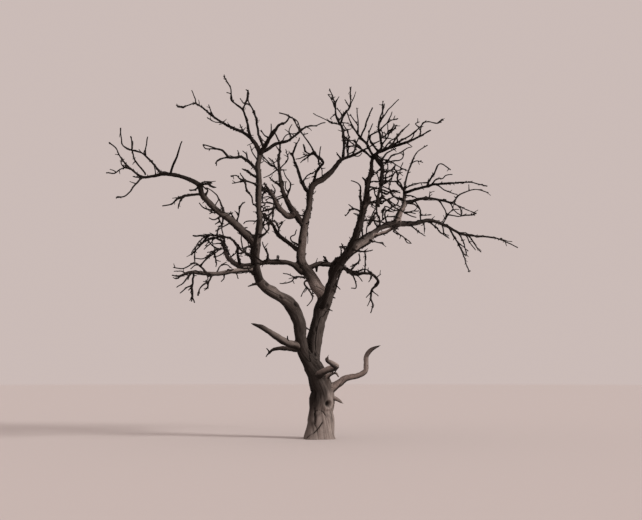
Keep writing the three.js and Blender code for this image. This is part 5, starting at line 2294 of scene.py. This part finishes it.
@dataclass(frozen=True)
class WoodFinish:
    """Weathered, barkless wood: silvery on the ridges, painted dark as shade in the clefts, and dark on thin
    twigs.
    """

    name: str
    pale: Triple
    dark: Triple
    cleft: Triple
    roughness: float
    bump: float
    fibre_scale: float
    specular: float = 0.06
    bump_height: float = 0.006
    hair_scale: float = 3.4
    hair_share: float = 0.35
    stain_scale: float = 2.6
    blotch_scale: float = 11.0
    tones: Triple = (1.1, 0.6, 0.55)

    def build(self) -> bpy.types.Material:
        """Makes the material.

        The colour goes from dark to pale by the point value pale, which holds painted light and
        shade as well as the wood's own tone, shifted by fibres that follow the grain and by broad
        stains and blotches in object space, each by its share in tones.  Clefts, cracks and knot pits
        get their own dark colour, which is painted shade.  The bump comes from the same fibres and
        from finer hairs.

        Returns:
            The material.
        """
        board = Board(self.name)
        output = board.nodes.new("ShaderNodeOutputMaterial")
        shader = board.nodes.new("ShaderNodeBsdfPrincipled")
        shader.inputs["Roughness"].default_value = self.roughness
        shader.inputs["Specular IOR Level"].default_value = self.specular
        board.links.new(shader.outputs["BSDF"], output.inputs["Surface"])

        grain = board.attribute("grain", "Vector")
        pale, cleft = board.attribute("pale"), board.attribute("cleft")
        place = board.nodes.new("ShaderNodeTexCoord").outputs["Object"]
        fibres = board.noise(grain, self.fibre_scale, 5.0, 0.62, 0.6)
        hairs = board.noise(grain, self.fibre_scale * self.hair_scale, 3.0, 0.6, 0.2)
        stains = board.noise(place, self.stain_scale, 4.0, 0.6, 0.8)
        blotches = board.noise(place, self.blotch_scale, 4.0, 0.65, 0.5)

        fibre, stain, blotch = (
            board.math("MULTIPLY_ADD", noise, tone, -0.5 * tone)
            for noise, tone in zip((fibres, stains, blotches), self.tones)
        )
        share = board.math("ADD", board.math("ADD", fibre, stain), blotch)
        depth = board.math("MULTIPLY_ADD", pale, 1.1, 0.09)
        share = board.math("ADD", board.math("MULTIPLY", share, depth), pale)
        wood = board.mix(share, self.dark, self.pale)
        # Painted shade: clefts, cracks and knot pits take the dark cleft colour.
        board.links.new(board.mix(cleft, wood, self.cleft), shader.inputs["Base Color"])

        bump = board.nodes.new("ShaderNodeBump")
        bump.inputs["Strength"].default_value = self.bump
        bump.inputs["Distance"].default_value = self.bump_height
        rise = board.math("ADD", fibres, board.math("MULTIPLY_ADD", hairs, self.hair_share, 0.0))
        board.links.new(rise, bump.inputs["Height"])
        board.links.new(bump.outputs["Normal"], shader.inputs["Normal"])
        return board.material


# Each finish's cleft colour is the painted shade of its clefts, cracks and knot pits.
FINISHES = {
    Slot.TRUNK: WoodFinish(
        name="trunk_wood_weathered",
        pale=(0.44, 0.37, 0.335),
        dark=(0.019, 0.0152, 0.013),
        cleft=(0.006, 0.0046, 0.004),
        roughness=0.86,
        bump=0.6,
        fibre_scale=60.0,
    ),
    Slot.BOUGH: WoodFinish(
        name="bough_wood_weathered",
        pale=(0.42, 0.35, 0.315),
        dark=(0.0135, 0.0105, 0.009),
        cleft=(0.005, 0.004, 0.0034),
        roughness=0.87,
        bump=0.55,
        fibre_scale=75.0,
    ),
    Slot.TWIG: WoodFinish(
        name="twig_wood_weathered",
        pale=(0.24, 0.195, 0.172),
        dark=(0.0095, 0.0075, 0.0064),
        cleft=(0.004, 0.003, 0.0026),
        roughness=0.88,
        bump=0.4,
        fibre_scale=100.0,
    ),
}


@dataclass
class Studio:
    """The plain pale floor, the soft light and the camera at the photograph's viewing angle.

    Angles are in degrees.  The camera is turned a trace to the right, and is pitched up a trace
    more than PhotoView has it, as that puts the tree on its place in the photograph.
    """

    pitch: float = 7.727
    yaw: float = -0.073
    far: float = 300.0
    floor_radius: float = 90.0
    floor_sides: int = 96
    floor_color: Triple = (0.6, 0.55, 0.535)
    sky_color: Triple = (0.595, 0.5, 0.475)
    sky_strength: float = 1.0
    key_color: Triple = (1.0, 0.95, 0.92)
    key_energy: float = 2.3
    key_softness: float = 14.0
    key_rise: float = 30.0
    key_turn: float = -24.0

    def build(self) -> None:
        """Makes the stage, the lights and the camera."""
        self._floor()
        self._light()
        self._camera()

    def _floor(self) -> None:
        """A flat disc: a ring of points at one radius round the origin, as one face."""
        angle = np.linspace(0, 2 * math.pi, self.floor_sides, endpoint=False)
        ring = self.floor_radius * np.column_stack([np.cos(angle), np.sin(angle), 0 * angle])
        mesh = bpy.data.meshes.new("studio_floor")
        mesh.from_pydata(ring.tolist(), [], [list(range(len(ring)))])
        floor = bpy.data.objects.new("studio_floor", mesh)
        bpy.context.scene.collection.objects.link(floor)
        material = bpy.data.materials.new("studio_floor_pale")
        material.use_nodes = True
        shader = material.node_tree.nodes["Principled BSDF"]
        shader.inputs["Base Color"].default_value = (*self.floor_color, 1.0)
        shader.inputs["Roughness"].default_value = 0.95
        shader.inputs["Specular IOR Level"].default_value = 0.1
        mesh.materials.append(material)

    def _light(self) -> None:
        """An even pale sky all round, and one broad soft lamp from the right and the front."""
        world = bpy.data.worlds.new("studio_sky")
        world.use_nodes = True
        sky = world.node_tree.nodes["Background"]
        sky.inputs["Color"].default_value = (*self.sky_color, 1.0)
        sky.inputs["Strength"].default_value = self.sky_strength
        bpy.context.scene.world = world
        lamp = bpy.data.lights.new("key_lamp", "SUN")
        lamp.energy = self.key_energy
        lamp.angle = math.radians(self.key_softness)
        lamp.color = self.key_color
        key = bpy.data.objects.new("key_lamp", lamp)
        key.rotation_euler = (math.radians(90.0 - self.key_rise), 0.0, math.radians(90.0 + self.key_turn))
        bpy.context.scene.collection.objects.link(key)

    def _camera(self) -> None:
        """The camera in front of the tree, low and tipped up as the photograph was taken."""
        lens = bpy.data.cameras.new("photo_camera")
        lens.lens = LENS
        lens.sensor_width = SENSOR
        lens.clip_end = self.far
        camera = bpy.data.objects.new("photo_camera", lens)
        camera.location = (0.0, -CAMERA_AWAY, CAMERA_HEIGHT)
        camera.rotation_euler = (math.radians(90.0 + self.pitch), 0.0, math.radians(self.yaw))
        bpy.context.scene.collection.objects.link(camera)
        bpy.context.scene.camera = camera
        bpy.context.scene.view_settings.view_transform = "Standard"


def main() -> None:
    """Grows the tree from root to twig, dresses it and sets the stage."""
    logging.basicConfig(level=logging.INFO, format="%(message)s")
    tree = Tree()
    tree.read_limbs()
    tree.mark_wood()
    tree.grow_sprigs()
    LOG.info("%d limbs and branchlets", len(tree.stems))
    tree.mesh_limbs()
    LOG.info("%d twigs", TwigRule(tree).run())
    tree.build(FINISHES)
    Studio().build()


if __name__ == "__main__":
    main()
